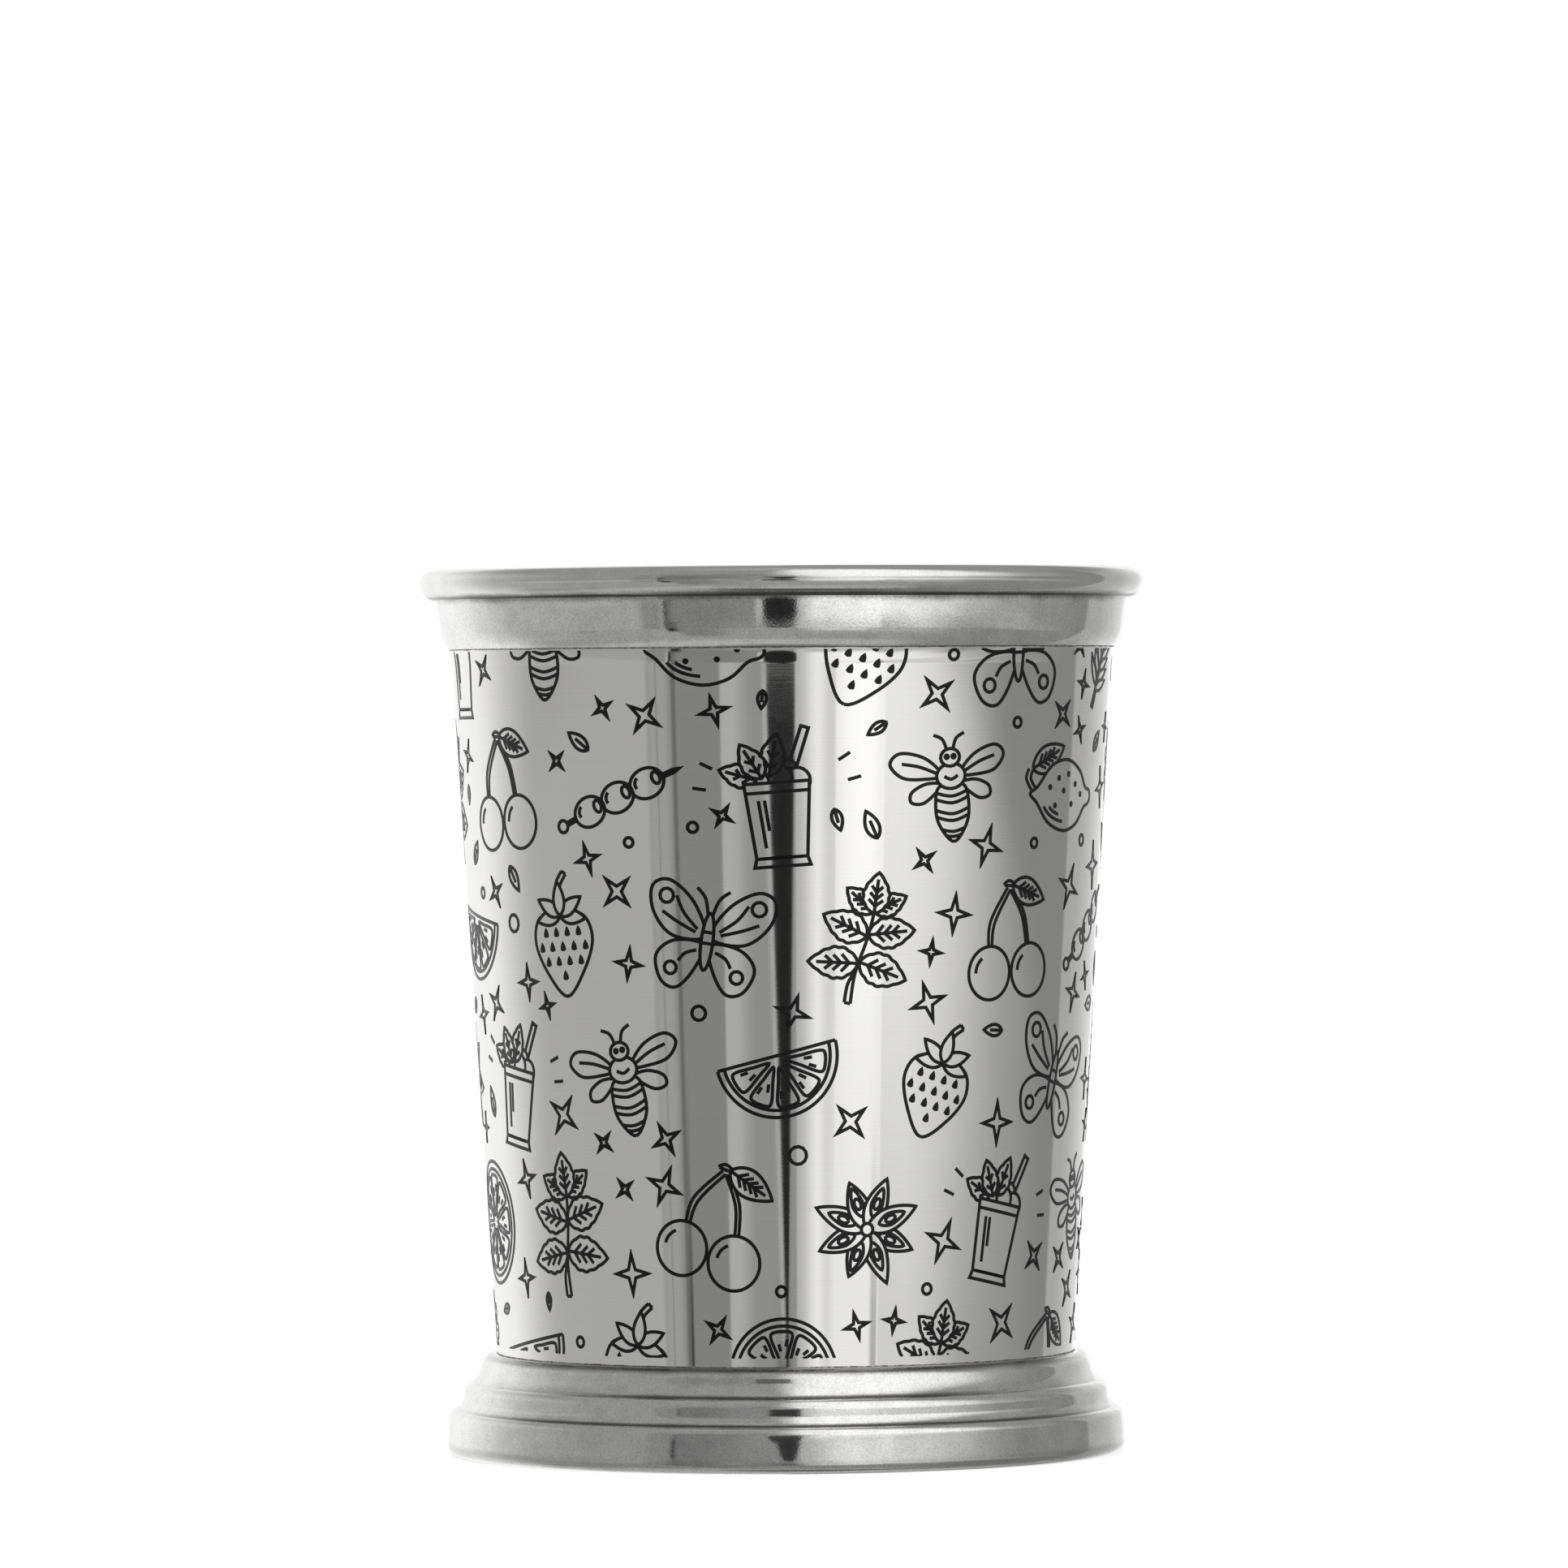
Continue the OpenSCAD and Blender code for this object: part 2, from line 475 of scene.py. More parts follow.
def new_group(name, inputs, outputs):
    """An empty shader group with named inputs and outputs. Returns it with its tools and both end nodes."""
    group = bpy.data.node_groups.new(name, "ShaderNodeTree")
    for label, kind, value in inputs:
        made = group.interface.new_socket(label, in_out="INPUT", socket_type=kind)
        if value is not None:
            made.default_value = value
    for label, kind in outputs:
        group.interface.new_socket(label, in_out="OUTPUT", socket_type=kind)
    tools = Tree(group)
    return group, tools, tools.node("NodeGroupInput"), tools.node("NodeGroupOutput")


FLOAT = "NodeSocketFloat"
VECTOR = "NodeSocketVector"


# Studio that the metal sees

def card_group():
    """A card or light round the object: a patch of azimuth and elevation with soft edges, laid over what is
    there. Each side fades in from its first to its second angle."""
    sides = ("Left from", "Left to", "Right to", "Right from", "Low from", "Low to", "High to", "High from")
    inputs = [(label, FLOAT, 0.0) for label in ("Under", "Azimuth", "Elevation") + sides + ("Light",)]
    group, t, given, result = new_group("studio_card", inputs, [("Light", FLOAT)])
    g = given.outputs
    mask = 1.0
    for angle, low, high in (("Azimuth", "Left from", "Left to"), ("Elevation", "Low from", "Low to")):
        mask = t.maths("MULTIPLY", mask, t.ramp(g[angle], g[low], g[high]))
    for angle, low, high in (("Azimuth", "Right to", "Right from"), ("Elevation", "High to", "High from")):
        mask = t.maths("MULTIPLY", mask, t.ramp(g[angle], g[low], g[high], 1.0, 0.0))
    t.put(t.mix(mask, g["Under"], g["Light"]), result.inputs[0])
    return group


def silhouette_group():
    """Something dark that stands before the object: a box with round corners, which may lean and taper.
    Stretch makes elevation count for more, as a tall wall shows little of it."""
    inputs = [(label, FLOAT, 0.0) for label in (
        "Under", "Azimuth", "Elevation", "Middle", "Height", "Half width", "Half height", "Round",
        "Lean", "Taper", "Stretch", "Edge", "Light")]
    group, t, given, result = new_group("studio_silhouette", inputs, [("Light", FLOAT)])
    g = given.outputs
    up = t.maths("SUBTRACT", g["Elevation"], g["Height"])
    middle = t.maths("MULTIPLY_ADD", up, g["Lean"], g["Middle"])
    half_width = t.maths("MULTIPLY_ADD", up, g["Taper"], g["Half width"])
    across = t.maths("ABSOLUTE", t.maths("SUBTRACT", g["Azimuth"], middle))
    across = t.maths("MAXIMUM", t.maths("ADD", t.maths("SUBTRACT", across, half_width), g["Round"]), 0.0)
    over = t.maths("MULTIPLY", t.maths("SUBTRACT", t.maths("ABSOLUTE", up), g["Half height"]), g["Stretch"])
    over = t.maths("MAXIMUM", t.maths("ADD", over, g["Round"]), 0.0)
    away = t.maths("SQRT", t.maths("ADD", t.maths("POWER", across, 2.0), t.maths("POWER", over, 2.0)))
    away = t.maths("SUBTRACT", away, g["Round"])
    mask = t.ramp(away, t.maths("MULTIPLY", g["Edge"], -0.5), t.maths("MULTIPLY", g["Edge"], 0.5), 1.0, 0.0)
    t.put(t.mix(mask, g["Under"], g["Light"]), result.inputs[0])
    return group


# Each card: left from, left to, right to, right from; low from, low to, high to, high from; light.
# Azimuth 0 is in front of the object, where the camera stands, and grows to the right. Angles in degrees.
ALL_ROUND = (-182, -181, 181, 182)
LEFT_WALL = (-182, -181, -49.5, -46.5)
DOOR_FRAME = (-49.5, -46.8, -42.5, -38.8)
ABOVE_TABLE = (-15.9, -15.3)
LIT_ZONE = (-11.0, -10.7, -5.4, -4.4)
WALL_ZONE = (-11.0, -10.7, -6.2, -5.2)
LOW_SHADE = (-11.2, -10.9, -10.4, -6.5)
FOOT_ZONE = (-6.0, -5.2, 6.0, 10.0)
STUDIO = [
    ("room", ALL_ROUND, (-92, -91, 91, 92), 0.30),
    ("ceiling", ALL_ROUND, (25, 55, 91, 92), 0.34),
    ("ceiling over the cup", ALL_ROUND, (66, 86, 91, 92), 0.45),
    # Table
    ("table", ALL_ROUND, (-92, -91, -16.2, -15.6), 0.37),
    ("table, front left", (-37, -34, -30, -9), (-45, -30, -16.2, -15.6), 0.25),
    ("table, straight below", ALL_ROUND, (-92, -91, -56, -44), 0.5),
    ("table, straight below, front", (-56, -38, 78, 104), (-92, -91, -74, -64), 0.13),
    ("table, right", (40, 82, 124, 126), (-92, -50, -16.2, -15.6), 0.28),
    ("table, below the light", (3, 15, 36, 75), (-34, -17, -16.2, -15.6), 0.5),
    ("table, mirrored light", (5, 17, 29.5, 31), (-25, -16.4, -16.2, -15.6), 0.76),
    # Left: a wall that turns into the white backdrop
    ("left wall", LEFT_WALL, (*ABOVE_TABLE, 40, 70), 0.35),
    ("left wall, low part", LEFT_WALL, (*ABOVE_TABLE, -6, -4.5), 0.42),
    ("left wall, lit part", LEFT_WALL, LIT_ZONE, 0.475),
    ("door frame", DOOR_FRAME, (*ABOVE_TABLE, 20, 30), 0.29),
    ("door frame, lit part", DOOR_FRAME, LIT_ZONE, 0.40),
    ("left wall, far end", (-182, -181, -112, -70), (-40, -30, 25, 45), 0.5),
    ("left backdrop", (-182, -181, -142, -98), (-62, -25, 12, 42), 1.07),
    # Front left: panels with a gap between them
    ("front left panel", (-40, -38.8, -32, -4), (*ABOVE_TABLE, 20, 34), 0.215),
    ("front left panel, lit", (-40, -38.8, -16, -10), WALL_ZONE, 0.275),
    ("panel by the camera, lit", (-18, -11, 6, 7), WALL_ZONE, 0.335),
    ("gap in the panels", (-22.2, -21.2, -18, -10), WALL_ZONE, 0.5),
    ("front left panel, low part", (-39.2, -38.6, -30, -6), (*ABOVE_TABLE, -11, -10.7), 0.25),
    # Right: the large soft light
    ("right wall", (20, 25, 124, 126), (*ABOVE_TABLE, 30, 60), 0.43),
    ("soft light, edge", (3.8, 5.0, 36, 92), (*ABOVE_TABLE, 62, 90), 0.56),
    ("soft light", (5, 13, 38, 92), (*ABOVE_TABLE, 62, 90), 1.03),
    ("soft light, upper left", (-8, 11, 38, 92), (17, 26, 60, 88), 1.1),
    ("soft light, upper part", (9, 20, 40, 92), (8, 20, 60, 88), 1.2),
    ("soft light, near part", (16, 24, 36.1, 36.9), (*ABOVE_TABLE, 6.5, 9), 1.15),
    ("soft light, fold", (12, 17, 18.2, 19.2), WALL_ZONE, 0.78),
    ("soft light, bright core", (19, 28, 31, 36), (-11.3, -7, -6.2, -5.2), 1.27),
    ("soft light, shade near the table", (14, 20, 36.1, 36.9), LOW_SHADE, 1.0),
    ("soft light, far part near the table", (36.1, 36.9, 50, 85), LOW_SHADE, 0.76),
    ("right wall, near the table", (45, 80, 124, 126), (-9.9, -9.3, -10.4, -6.5), 0.33),
    ("right wall, low part", (50, 82, 84, 100), (*ABOVE_TABLE, -10.2, -9.6), 0.44),
    ("edge of the light, near the table", (32.4, 34.3, 35.6, 36.4), (-11.2, -10.9, -10.0, -8.6), 0.48),
    ("soft light, edge, as the foot sees it", (3.8, 5.0, 36.3, 36.9), FOOT_ZONE, 0.5),
    ("soft light, as the foot sees it", (5, 19, 36.3, 36.9), FOOT_ZONE, 0.92),
    ("right wall, as the foot sees it", (36.3, 36.9, 122, 124), FOOT_ZONE, 0.28),
    ("soft light, far part, as the foot sees it", (36.3, 36.9, 37, 90), FOOT_ZONE, 0.79),
    ("shade at the light's foot", (4, 6, 33.5, 34.2), (-16.5, -16.2, -15.4, -14.4), 0.6),
    ("shade at the light's foot, far part", (33.5, 34.2, 48, 68), (-16.5, -16.2, -14.9, -13.2), 0.5),
    ("shade at the wall's foot", (44, 68, 84, 90), (-16.5, -16.2, -13.4, -11.6), 0.34),
    ("mark at the light's foot", (33.7, 34.2, 35.5, 36.1), (-17.0, -16.0, -15.2, -14.9), 0.35),
    ("right wall, dim", (80, 120, 124, 126), (*ABOVE_TABLE, 30, 60), 0.28),
    ("right backdrop", (124.2, 126.4, 181, 182), (-34, -16, 14, 34), 0.47),
    ("right backdrop, far end", (128, 172, 181, 182), (-34, -16, 14, 34), 0.88),
    ("right backdrop, edge", (162, 169, 181, 182), (-16, -15, 20, 30), 1.05),
    # Thin stand at the left
    ("stand", (-39.6, -38.9, -38.1, -37.4), (*ABOVE_TABLE, 14, 20), 0.17),
    ("stand, lit zone", (-38.0, -37.6, -36.9, -36.4), (-11.3, -10.9, -10.2, -8.2), 0.04),
    ("stand's foot", (-40, -39, -37, -34.5), (-24, -20, -14.9, -14.4), 0.03),
    ("stand's low end", (-39.4, -39.0, -37.8, -37.0), (-5.0, -4.7, -3.9, -3.5), 0.12),
    ("stand's dark side", (-39.6, -39.25, -38.6, -38.2), (-3.2, -2.6, 5.0, 9.0), 0.02),
    ("door frame, pale line", (-41.4, -41.1, -40.7, -40.4), (-14.8, -14.4, -11, -10.7), 0.5),
    ("door frame, dark line", (-40.4, -40.1, -39.5, -39.2), (-14.8, -14.4, -11, -10.7), 0.02),
    ("door frame, groove", (-45.4, -45.1, -44.8, -44.5), (-14.8, -14.2, 6, 9), 0.3),
    # Pale edge that hugs the camera's left side
    ("pale edge", (-8.8, -8.0, -5, -4), (-15.4, -14.6, -11.6, -11.0), 0.6),
]

# Each silhouette: middle, height; half width, half height, round; lean, taper, stretch; edge; light
SILHOUETTES = [
    ("pale edge of the camera stand", -0.75, -8.5, 3.55, 1.95, 3.0, -0.33, 1.36, 14, 1.4, 0.5),
    ("camera stand", 0.05, -8.5, 2.75, 1.95, 2.6, -0.33, 1.36, 14, 0.7, 0.02),
    ("camera, seen from the band", -0.6, -13.05, 5.75, 2.75, 5.2, 0, 0, 3.4, 0.6, 0.02),
    ("camera", -0.4, 8.4, 5.6, 2.2, 1.6, -0.1, 0.35, 1, 1.0, 0.05),
    ("camera, lower part", 0.7, 1.4, 3.1, 5.7, 2.4, 0, 0.22, 1, 0.8, 0.04),
    ("bar over the camera", -5, 29, 7.2, 1.2, 1.2, 0, 0, 1, 1.0, 0.12),
]

# Where the white background stands behind the object, for metal that mirrors it
BEHIND = ((-182, -181, -172, -150), (166, 172, 181, 182))
BEHIND_ENDS = (-16, -12, 14, 34)


def make_world():
    """The studio that the metal reflects, drawn by direction. The camera sees a plain white background
    instead, and metal and glass see it too where they mirror what is behind the object."""
    world = bpy.data.worlds.new("studio")
    world.use_nodes = True
    scene.world = world
    tree = world.node_tree
    tree.nodes.clear()
    t = Tree(tree)
    x, y, z = t.parts(t.node("ShaderNodeTexCoord").outputs["Generated"])
    to_degrees = 180 / math.pi
    azimuth = t.maths("MULTIPLY", t.maths("ARCTAN2", x, t.maths("MULTIPLY", y, -1.0)), to_degrees)
    elevation = t.maths("MULTIPLY", t.maths("ARCSINE", z), to_degrees)
    card_shape = card_group()
    dark_shape = silhouette_group()

    def laid(shape, name, under, values):
        """A card or a silhouette laid over the light that is under it."""
        feeds = dict(enumerate((under, azimuth, elevation, *values)))
        return t.fed("ShaderNodeGroup", feeds, node_tree=shape, label=name).outputs[0]

    light = 0.0
    for name, sides, ends, brightness in STUDIO:
        light = laid(card_shape, name, light, (*sides, *ends, brightness))
    for name, *values in SILHOUETTES:
        light = laid(dark_shape, name, light, values)
    behind = 0.0
    for sides in BEHIND:
        behind = laid(card_shape, "white background", behind, (*sides, *BEHIND_ENDS, 1.0))
    seen = t.fed("ShaderNodeBackground", {"Color": light})
    white = t.fed("ShaderNodeBackground", {"Color": (1, 1, 1, 1)})
    ray = t.node("ShaderNodeLightPath").outputs
    mirrored = t.maths("MAXIMUM", ray["Is Glossy Ray"], ray["Is Transmission Ray"])
    shown = t.maths("MULTIPLY", behind, mirrored)
    choice = t.fed("ShaderNodeMixShader", {
        0: t.maths("MAXIMUM", ray["Is Camera Ray"], shown), 1: seen.outputs[0], 2: white.outputs[0]})
    t.fed("ShaderNodeOutputWorld", {"Surface": choice.outputs[0]})


def make_lamp(name, place, size, power):
    """A soft square lamp that faces the cup's middle. Metal doesn't show it, only matt surfaces."""
    data = bpy.data.lights.new(name, "AREA")
    data.size = size
    data.energy = power
    lamp = bpy.data.objects.new(name, data)
    scene.collection.objects.link(lamp)
    lamp.location = place
    aim = Vector((0, 0, cup_h * MM / 2)) - Vector(place)
    lamp.rotation_euler = aim.to_track_quat("-Z", "Y").to_euler()
    lamp.visible_glossy = False
    lamp.visible_camera = False


def make_floor():
    """A plain pale floor. It keeps the cup's shadow, and metal sees the studio's table instead of it."""
    half = 6.0
    mesh = bpy.data.meshes.new("floor")
    corners = [(-half, -half, 0), (half, -half, 0), (half, half, 0), (-half, half, 0)]
    mesh.from_pydata(corners, [], [(0, 1, 2, 3)])
    floor = bpy.data.objects.new("floor", mesh)
    scene.collection.objects.link(floor)
    floor.visible_glossy = False
    material = bpy.data.materials.new("floor")
    material.use_nodes = True
    material.node_tree.nodes.clear()
    t = Tree(material.node_tree)
    matt = t.fed("ShaderNodeBsdfDiffuse", {"Color": (0.8, 0.8, 0.8, 1)})
    seen = t.node("ShaderNodeLightPath").outputs["Is Camera Ray"]
    glow = t.fed("ShaderNodeEmission", {"Strength": t.maths("MULTIPLY", seen, 0.62)})
    both = t.fed("ShaderNodeAddShader", {0: matt.outputs[0], 1: glow.outputs[0]})
    t.fed("ShaderNodeOutputMaterial", {"Surface": both.outputs[0]})
    floor.data.materials.append(material)


# Printed decoration: line drawings from the bar and its garden, in millimetres on a flat sheet

ink_line_w = 0.42
ink_proud = 0.035
ink_sunk = 0.02
print_low_z = 13.45
print_high_z = 98.05
print_columns = 12
print_row_pitch = 17.2
print_seed = 7
print_stray = (0.9, 0.8)
print_turn = 16
print_sizes = (0.93, 1.03)
mark_sizes = (1.15, 0.95, 0.8, 0.65)
mark_tries = 700
mark_gap = 1.5
LINE_STEP = 0.6
WIDEST_CORNER = 3.2


def fine(line):
    """A line with points added, so that no stretch is longer than the line step."""
    dense = [line[0]]
    for a, b in zip(line, line[1:]):
        parts = max(1, math.ceil(np.linalg.norm(b - a) / LINE_STEP))
        dense += [a + (b - a) * i / parts for i in range(1, parts + 1)]
    return np.array(dense)


def straight(*points):
    """A line with straight stretches."""
    return fine(np.array(points, float))


def smooth(*points, closed=False, spans=6):
    """A smooth line through a few points."""
    p = [np.array(q, float) for q in points]
    count = len(p)
    line = []
    for i in range(count if closed else count - 1):
        near = [p[(i + k) % count] if closed else p[min(max(i + k, 0), count - 1)] for k in (-1, 0, 1, 2)]
        for j in range(spans):
            t = j / spans
            line.append(0.5 * (2 * near[1] + (near[2] - near[0]) * t
                               + (2 * near[0] - 5 * near[1] + 4 * near[2] - near[3]) * t ** 2
                               + (3 * near[1] - near[0] - 3 * near[2] + near[3]) * t ** 3))
    line.append(p[0] if closed else p[-1])
    return fine(np.array(line))


def ring(x, y, rx, ry=None, start=0, end=360, turn=0):
    """A circle or an ellipse, or a stretch of one."""
    ry = rx if ry is None else ry
    sweep = abs(end - start)
    steps = max(5, math.ceil(math.radians(sweep) * max(rx, ry) / 0.5), round(sweep / 30))
    a = np.radians(np.linspace(start, end, steps + 1))
    return moved([np.stack([rx * np.cos(a), ry * np.sin(a)], 1)], x, y, turn)[0]


def moved(lines, x=0, y=0, turn=0, size=1, flip=False):
    """Lines turned about the middle of their drawing, sized and moved."""
    c = math.cos(math.radians(turn))
    s = math.sin(math.radians(turn))
    side = -1 if flip else 1
    return [np.stack([x + size * (side * line[:, 0] * c - line[:, 1] * s),
                      y + size * (side * line[:, 0] * s + line[:, 1] * c)], 1) for line in lines]


def inside(points, shape):
    """Which points lie inside a closed shape."""
    x, y = points[:, 0][:, None], points[:, 1][:, None]
    x1, y1 = shape[:, 0][None, :], shape[:, 1][None, :]
    x2, y2 = np.roll(shape[:, 0], -1)[None, :], np.roll(shape[:, 1], -1)[None, :]
    with np.errstate(divide="ignore", invalid="ignore"):
        crossing = ((y1 > y) != (y2 > y)) & (x < (x2 - x1) * (y - y1) / (y2 - y1) + x1)
    return crossing.sum(1) % 2 == 1


def cut(lines, shape, keep_inside=False):
    """Lines with the stretches that a closed shape hides taken out, or only those kept."""
    kept = []
    for line in lines:
        seen = inside(line, shape) == keep_inside
        run = []
        for i, p in enumerate(line):
            if i and seen[i] != seen[i - 1]:
                a, b = (line[i - 1], p) if seen[i - 1] else (p, line[i - 1])
                for _ in range(7):
                    middle = (a + b) / 2
                    if inside(middle[None], shape)[0] == keep_inside:
                        a = middle
                    else:
                        b = middle
                run.append(a)
                if not seen[i]:
                    kept.append(run)
                    run = []
            if seen[i]:
                run.append(p)
        kept.append(run)
    return [np.array(run) for run in kept if len(run) > 1]


def painted(*layers):
    """Drawings laid one behind the other, the front one first. Each is its lines and the shape it covers."""
    drawing = []
    covers = []
    for lines, shape in layers:
        for cover in covers:
            lines = cut(lines, cover)
        drawing += lines
        if shape is not None:
            covers.append(shape)
    return drawing


def placed(layer, *place, **how):
    """A layer moved together with the shape it covers."""
    lines, shape = layer
    return moved(lines, *place, **how), moved([shape], *place, **how)[0]


def leaf(length, width, veins=3, scallops=0):
    """A leaf that grows to the right from the middle of the drawing."""
    t = np.linspace(0, 1, 25)
    half = width / 2 * np.sin(math.pi * t ** 0.8) ** 0.85
    if scallops:
        half = half * (1 + 0.12 * np.abs(np.sin(scallops * math.pi * t)))
    half[-1] = 0
    top = np.stack([length * t, half], 1)
    shape = np.concatenate([top, (top * (1, -1))[::-1][1:]])
    lines = [shape, straight((0, 0), (0.84 * length, 0))] if veins else [shape]
    for i in range(veins):
        x = length * (0.18 + 0.5 * i / veins)
        for side in (-1, 1):
            lines.append(straight((x, 0), (x + 0.16 * length, side * 0.30 * width * (1 - 0.35 * i / veins))))
    return lines, shape


def rays(inner, outer, *angles):
    """Short dashes round a drawing."""
    return [straight((inner * math.cos(math.radians(a)), inner * math.sin(math.radians(a))),
                     (outer * math.cos(math.radians(a)), outer * math.sin(math.radians(a)))) for a in angles]


def citrus_part(inner, outer, half):
    """One segment of a cut citrus fruit, pointing to the right."""
    def at(r, share):
        a = math.radians(half * share) - share * 0.3 / r
        return r * math.cos(a), r * math.sin(a)
    shape = smooth(at(inner, 0), at(0.5 * outer, -1), at(0.9 * outer, -1), at(outer, -0.6), at(outer, 0.6),
                   at(0.9 * outer, 1), at(0.5 * outer, 1), closed=True, spans=5)
    return [shape, straight((0.55 * outer, 0.2), (0.72 * outer, 0.45)),
            straight((0.66 * outer, -0.5), (0.82 * outer, -0.75))]


def citrus_wheel():
    drawing = [ring(0, 0, 7.3), ring(0, 0, 6.4)]
    for k in range(9):
        drawing += moved(citrus_part(1.0, 5.7, 20), turn=40 * k + 8)
    return drawing


def citrus_half():
    drawing = [ring(0, 0, 7.8, start=180, end=360), ring(0, 0, 6.9, start=180, end=360),
               straight((-7.8, 0), (7.8, 0))]
    for k in range(5):
        drawing += moved(citrus_part(1.2, 6.2, 17), y=-0.35, turn=-18 - 36 * k)
    return moved(drawing, y=3)


def mint_sprig():
    leaves = ((0.2, 3.4, 96, 5.2, 3.2), (0.2, 3.6, 38, 4.6, 2.6), (0.1, 3.5, 150, 4.6, 2.6),
              (0.1, 0.6, 18, 6.2, 3.6), (0, 0.4, 166, 6.2, 3.6), (-0.2, -3, -8, 6.6, 3.8),
              (-0.3, -3.2, 190, 6.4, 3.7))
    layers = [placed(leaf(length, width, 3, 5), x, y, turn=turn) for x, y, turn, length, width in leaves]
    stem = [smooth((0.2, 3.6), (0.1, 0), (-0.4, -4.5), (-0.1, -8.4)),
            smooth((-0.4, -4.2), (-1.0, -6.0), (-0.9, -8.4)), straight((-0.1, -8.4), (-0.9, -8.4))]
    return painted(*layers, (stem, None))


def cherries():
    fruits = [([ring(x, y, 3.4), ring(x, y, 2.3, start=115, end=170)], ring(x, y, 3.4))
              for x, y in ((-3.6, -3.6), (3.5, -4.6))]
    stems = [smooth((-3.4, -0.9), (-2.6, 2.8), (0.9, 6.6)), smooth((-2.9, -1.2), (-2.0, 2.4), (1.3, 6.2)),
             smooth((3.3, -1.8), (3.0, 2.4), (1.3, 6.2)), smooth((3.8, -1.9), (3.5, 2.6), (1.7, 6.3)),
             smooth((0.4, 7.0), (1.3, 7.4), (2.3, 6.6), closed=True, spans=4)]
    return painted(*fruits, placed(leaf(6.4, 3.4, 4), 1.9, 6.7, turn=-28), (stems, None))


def pineapple():
    body = ring(0, -3.2, 3.9, 5.0)
    net = []
    for k in range(-6, 7):
        net.append(straight((-8, 1.7 * k - 8), (8, 1.7 * k + 2)))
        net.append(straight((8, 1.7 * k - 8), (-8, 1.7 * k + 2)))
    fruit = [body] + cut(net, body, keep_inside=True), body
    crown = [fruit]
    for turn, length, x in ((90, 6.2, 0), (62, 5.6, 0.5), (118, 5.6, -0.5), (38, 4.9, 1.0), (142, 4.9, -1.0),
                            (76, 7.2, 0.3), (104, 7.2, -0.3)):
        spike = smooth((0, -0.9), (0.5 * length, -0.75), (length, 0), spans=5)
        other = smooth((length, 0), (0.5 * length, 0.55), (0, 0.9), spans=5)
        shape = np.concatenate([spike, other[1:]])
        crown.append(placed(([shape], shape), x, 1.2, turn=turn))
    return painted(*crown)


def daisy():
    middle = ring(0, 0, 1.7)
    layers = [([middle, ring(-0.5, 0.4, 0.18), ring(0.5, 0.5, 0.18), ring(0.1, -0.5, 0.18)], middle)]
    petal = smooth((1.2, -0.5), (3.0, -1.15), (4.9, -0.75), (5.3, 0), (4.9, 0.75), (3.0, 1.15), (1.2, 0.5),
                   closed=True, spans=4)
    for k in range(11):
        layers.append(placed(([petal, straight((2.2, 0), (3.6, 0.1))], petal), turn=360 * k / 11 + 10))
    head = moved(painted(*layers), y=3.2)
    stem = [smooth((0.1, -2.3), (0.6, -5), (0.2, -8.6)), smooth((0.7, -2.3), (1.2, -5), (0.9, -8.6)),
            straight((0.2, -8.6), (0.9, -8.6))]
    leaves = painted(placed(leaf(5, 2.2, 2), 1.1, -6.6, turn=32),
                     placed(leaf(5, 2.2, 2), 0.4, -7.2, turn=150))
    return head + stem + leaves


def olive_pick():
    layers = []
    for x in (-3.9, 0.4, 4.7):
        shape = ring(x, 0, 2.25, 1.8)
        hole = ring(x + 1.35, 0.15, 0.5, 0.75)
        glint = ring(x - 0.3, 0.2, 1.2, 1.0, 120, 200)
        layers.append(([shape, hole, glint], shape))
    layers.append(([ring(-8.4, 0, 0.75)], ring(-8.4, 0, 0.75)))
    layers.append(([straight((-8, 0.2), (8.4, 0.2), (9.2, 0), (8.4, -0.2), (-8, -0.2))], None))
    return moved(painted(*layers), turn=32)


def bee():
    body = smooth((0, -5.6), (-1.9, -3.4), (-2.2, -0.8), (-1.5, 1.1), (1.5, 1.1), (2.2, -0.8), (1.9, -3.4),
                  closed=True)
    stripes = [smooth((-3, y + 0.5), (0, y - 0.4), (3, y + 0.5)) for y in (0.2, -0.6, -1.9, -2.7, -4.0, -4.6)]
    chest = ring(0, 2.2, 1.9, 1.5)
    head = ring(0, 4.4, 1.25, 1.05)
    layers = [([head, ring(-0.45, 4.5, 0.2), ring(0.45, 4.5, 0.2)], head),
              ([chest, smooth((-0.9, 2.2), (0, 1.8), (0.9, 2.2))], chest),
              ([body] + cut(stripes, body, keep_inside=True), body)]
    for side in (1, -1):
        upper = smooth((0, 0), (2.5, 1.6), (5.6, 1.7), (6.6, 0.2), (4.8, -1.1), (2, -0.8), closed=True)
        vein = smooth((0.8, 0.1), (3, 0.5), (5.2, 0.5))
        layers.append(placed(([upper, vein], upper), side * 1.2, 2.4, turn=side * 14, flip=side < 0))
        layers.append(placed(([0.66 * upper], 0.66 * upper), side * 1.3, 1.3, turn=side * -26, flip=side < 0))
        layers.append(([smooth((side * 0.4, 5.3), (side * 0.9, 6.6), (side * 2.0, 7.2))], None))
    return painted(*layers)


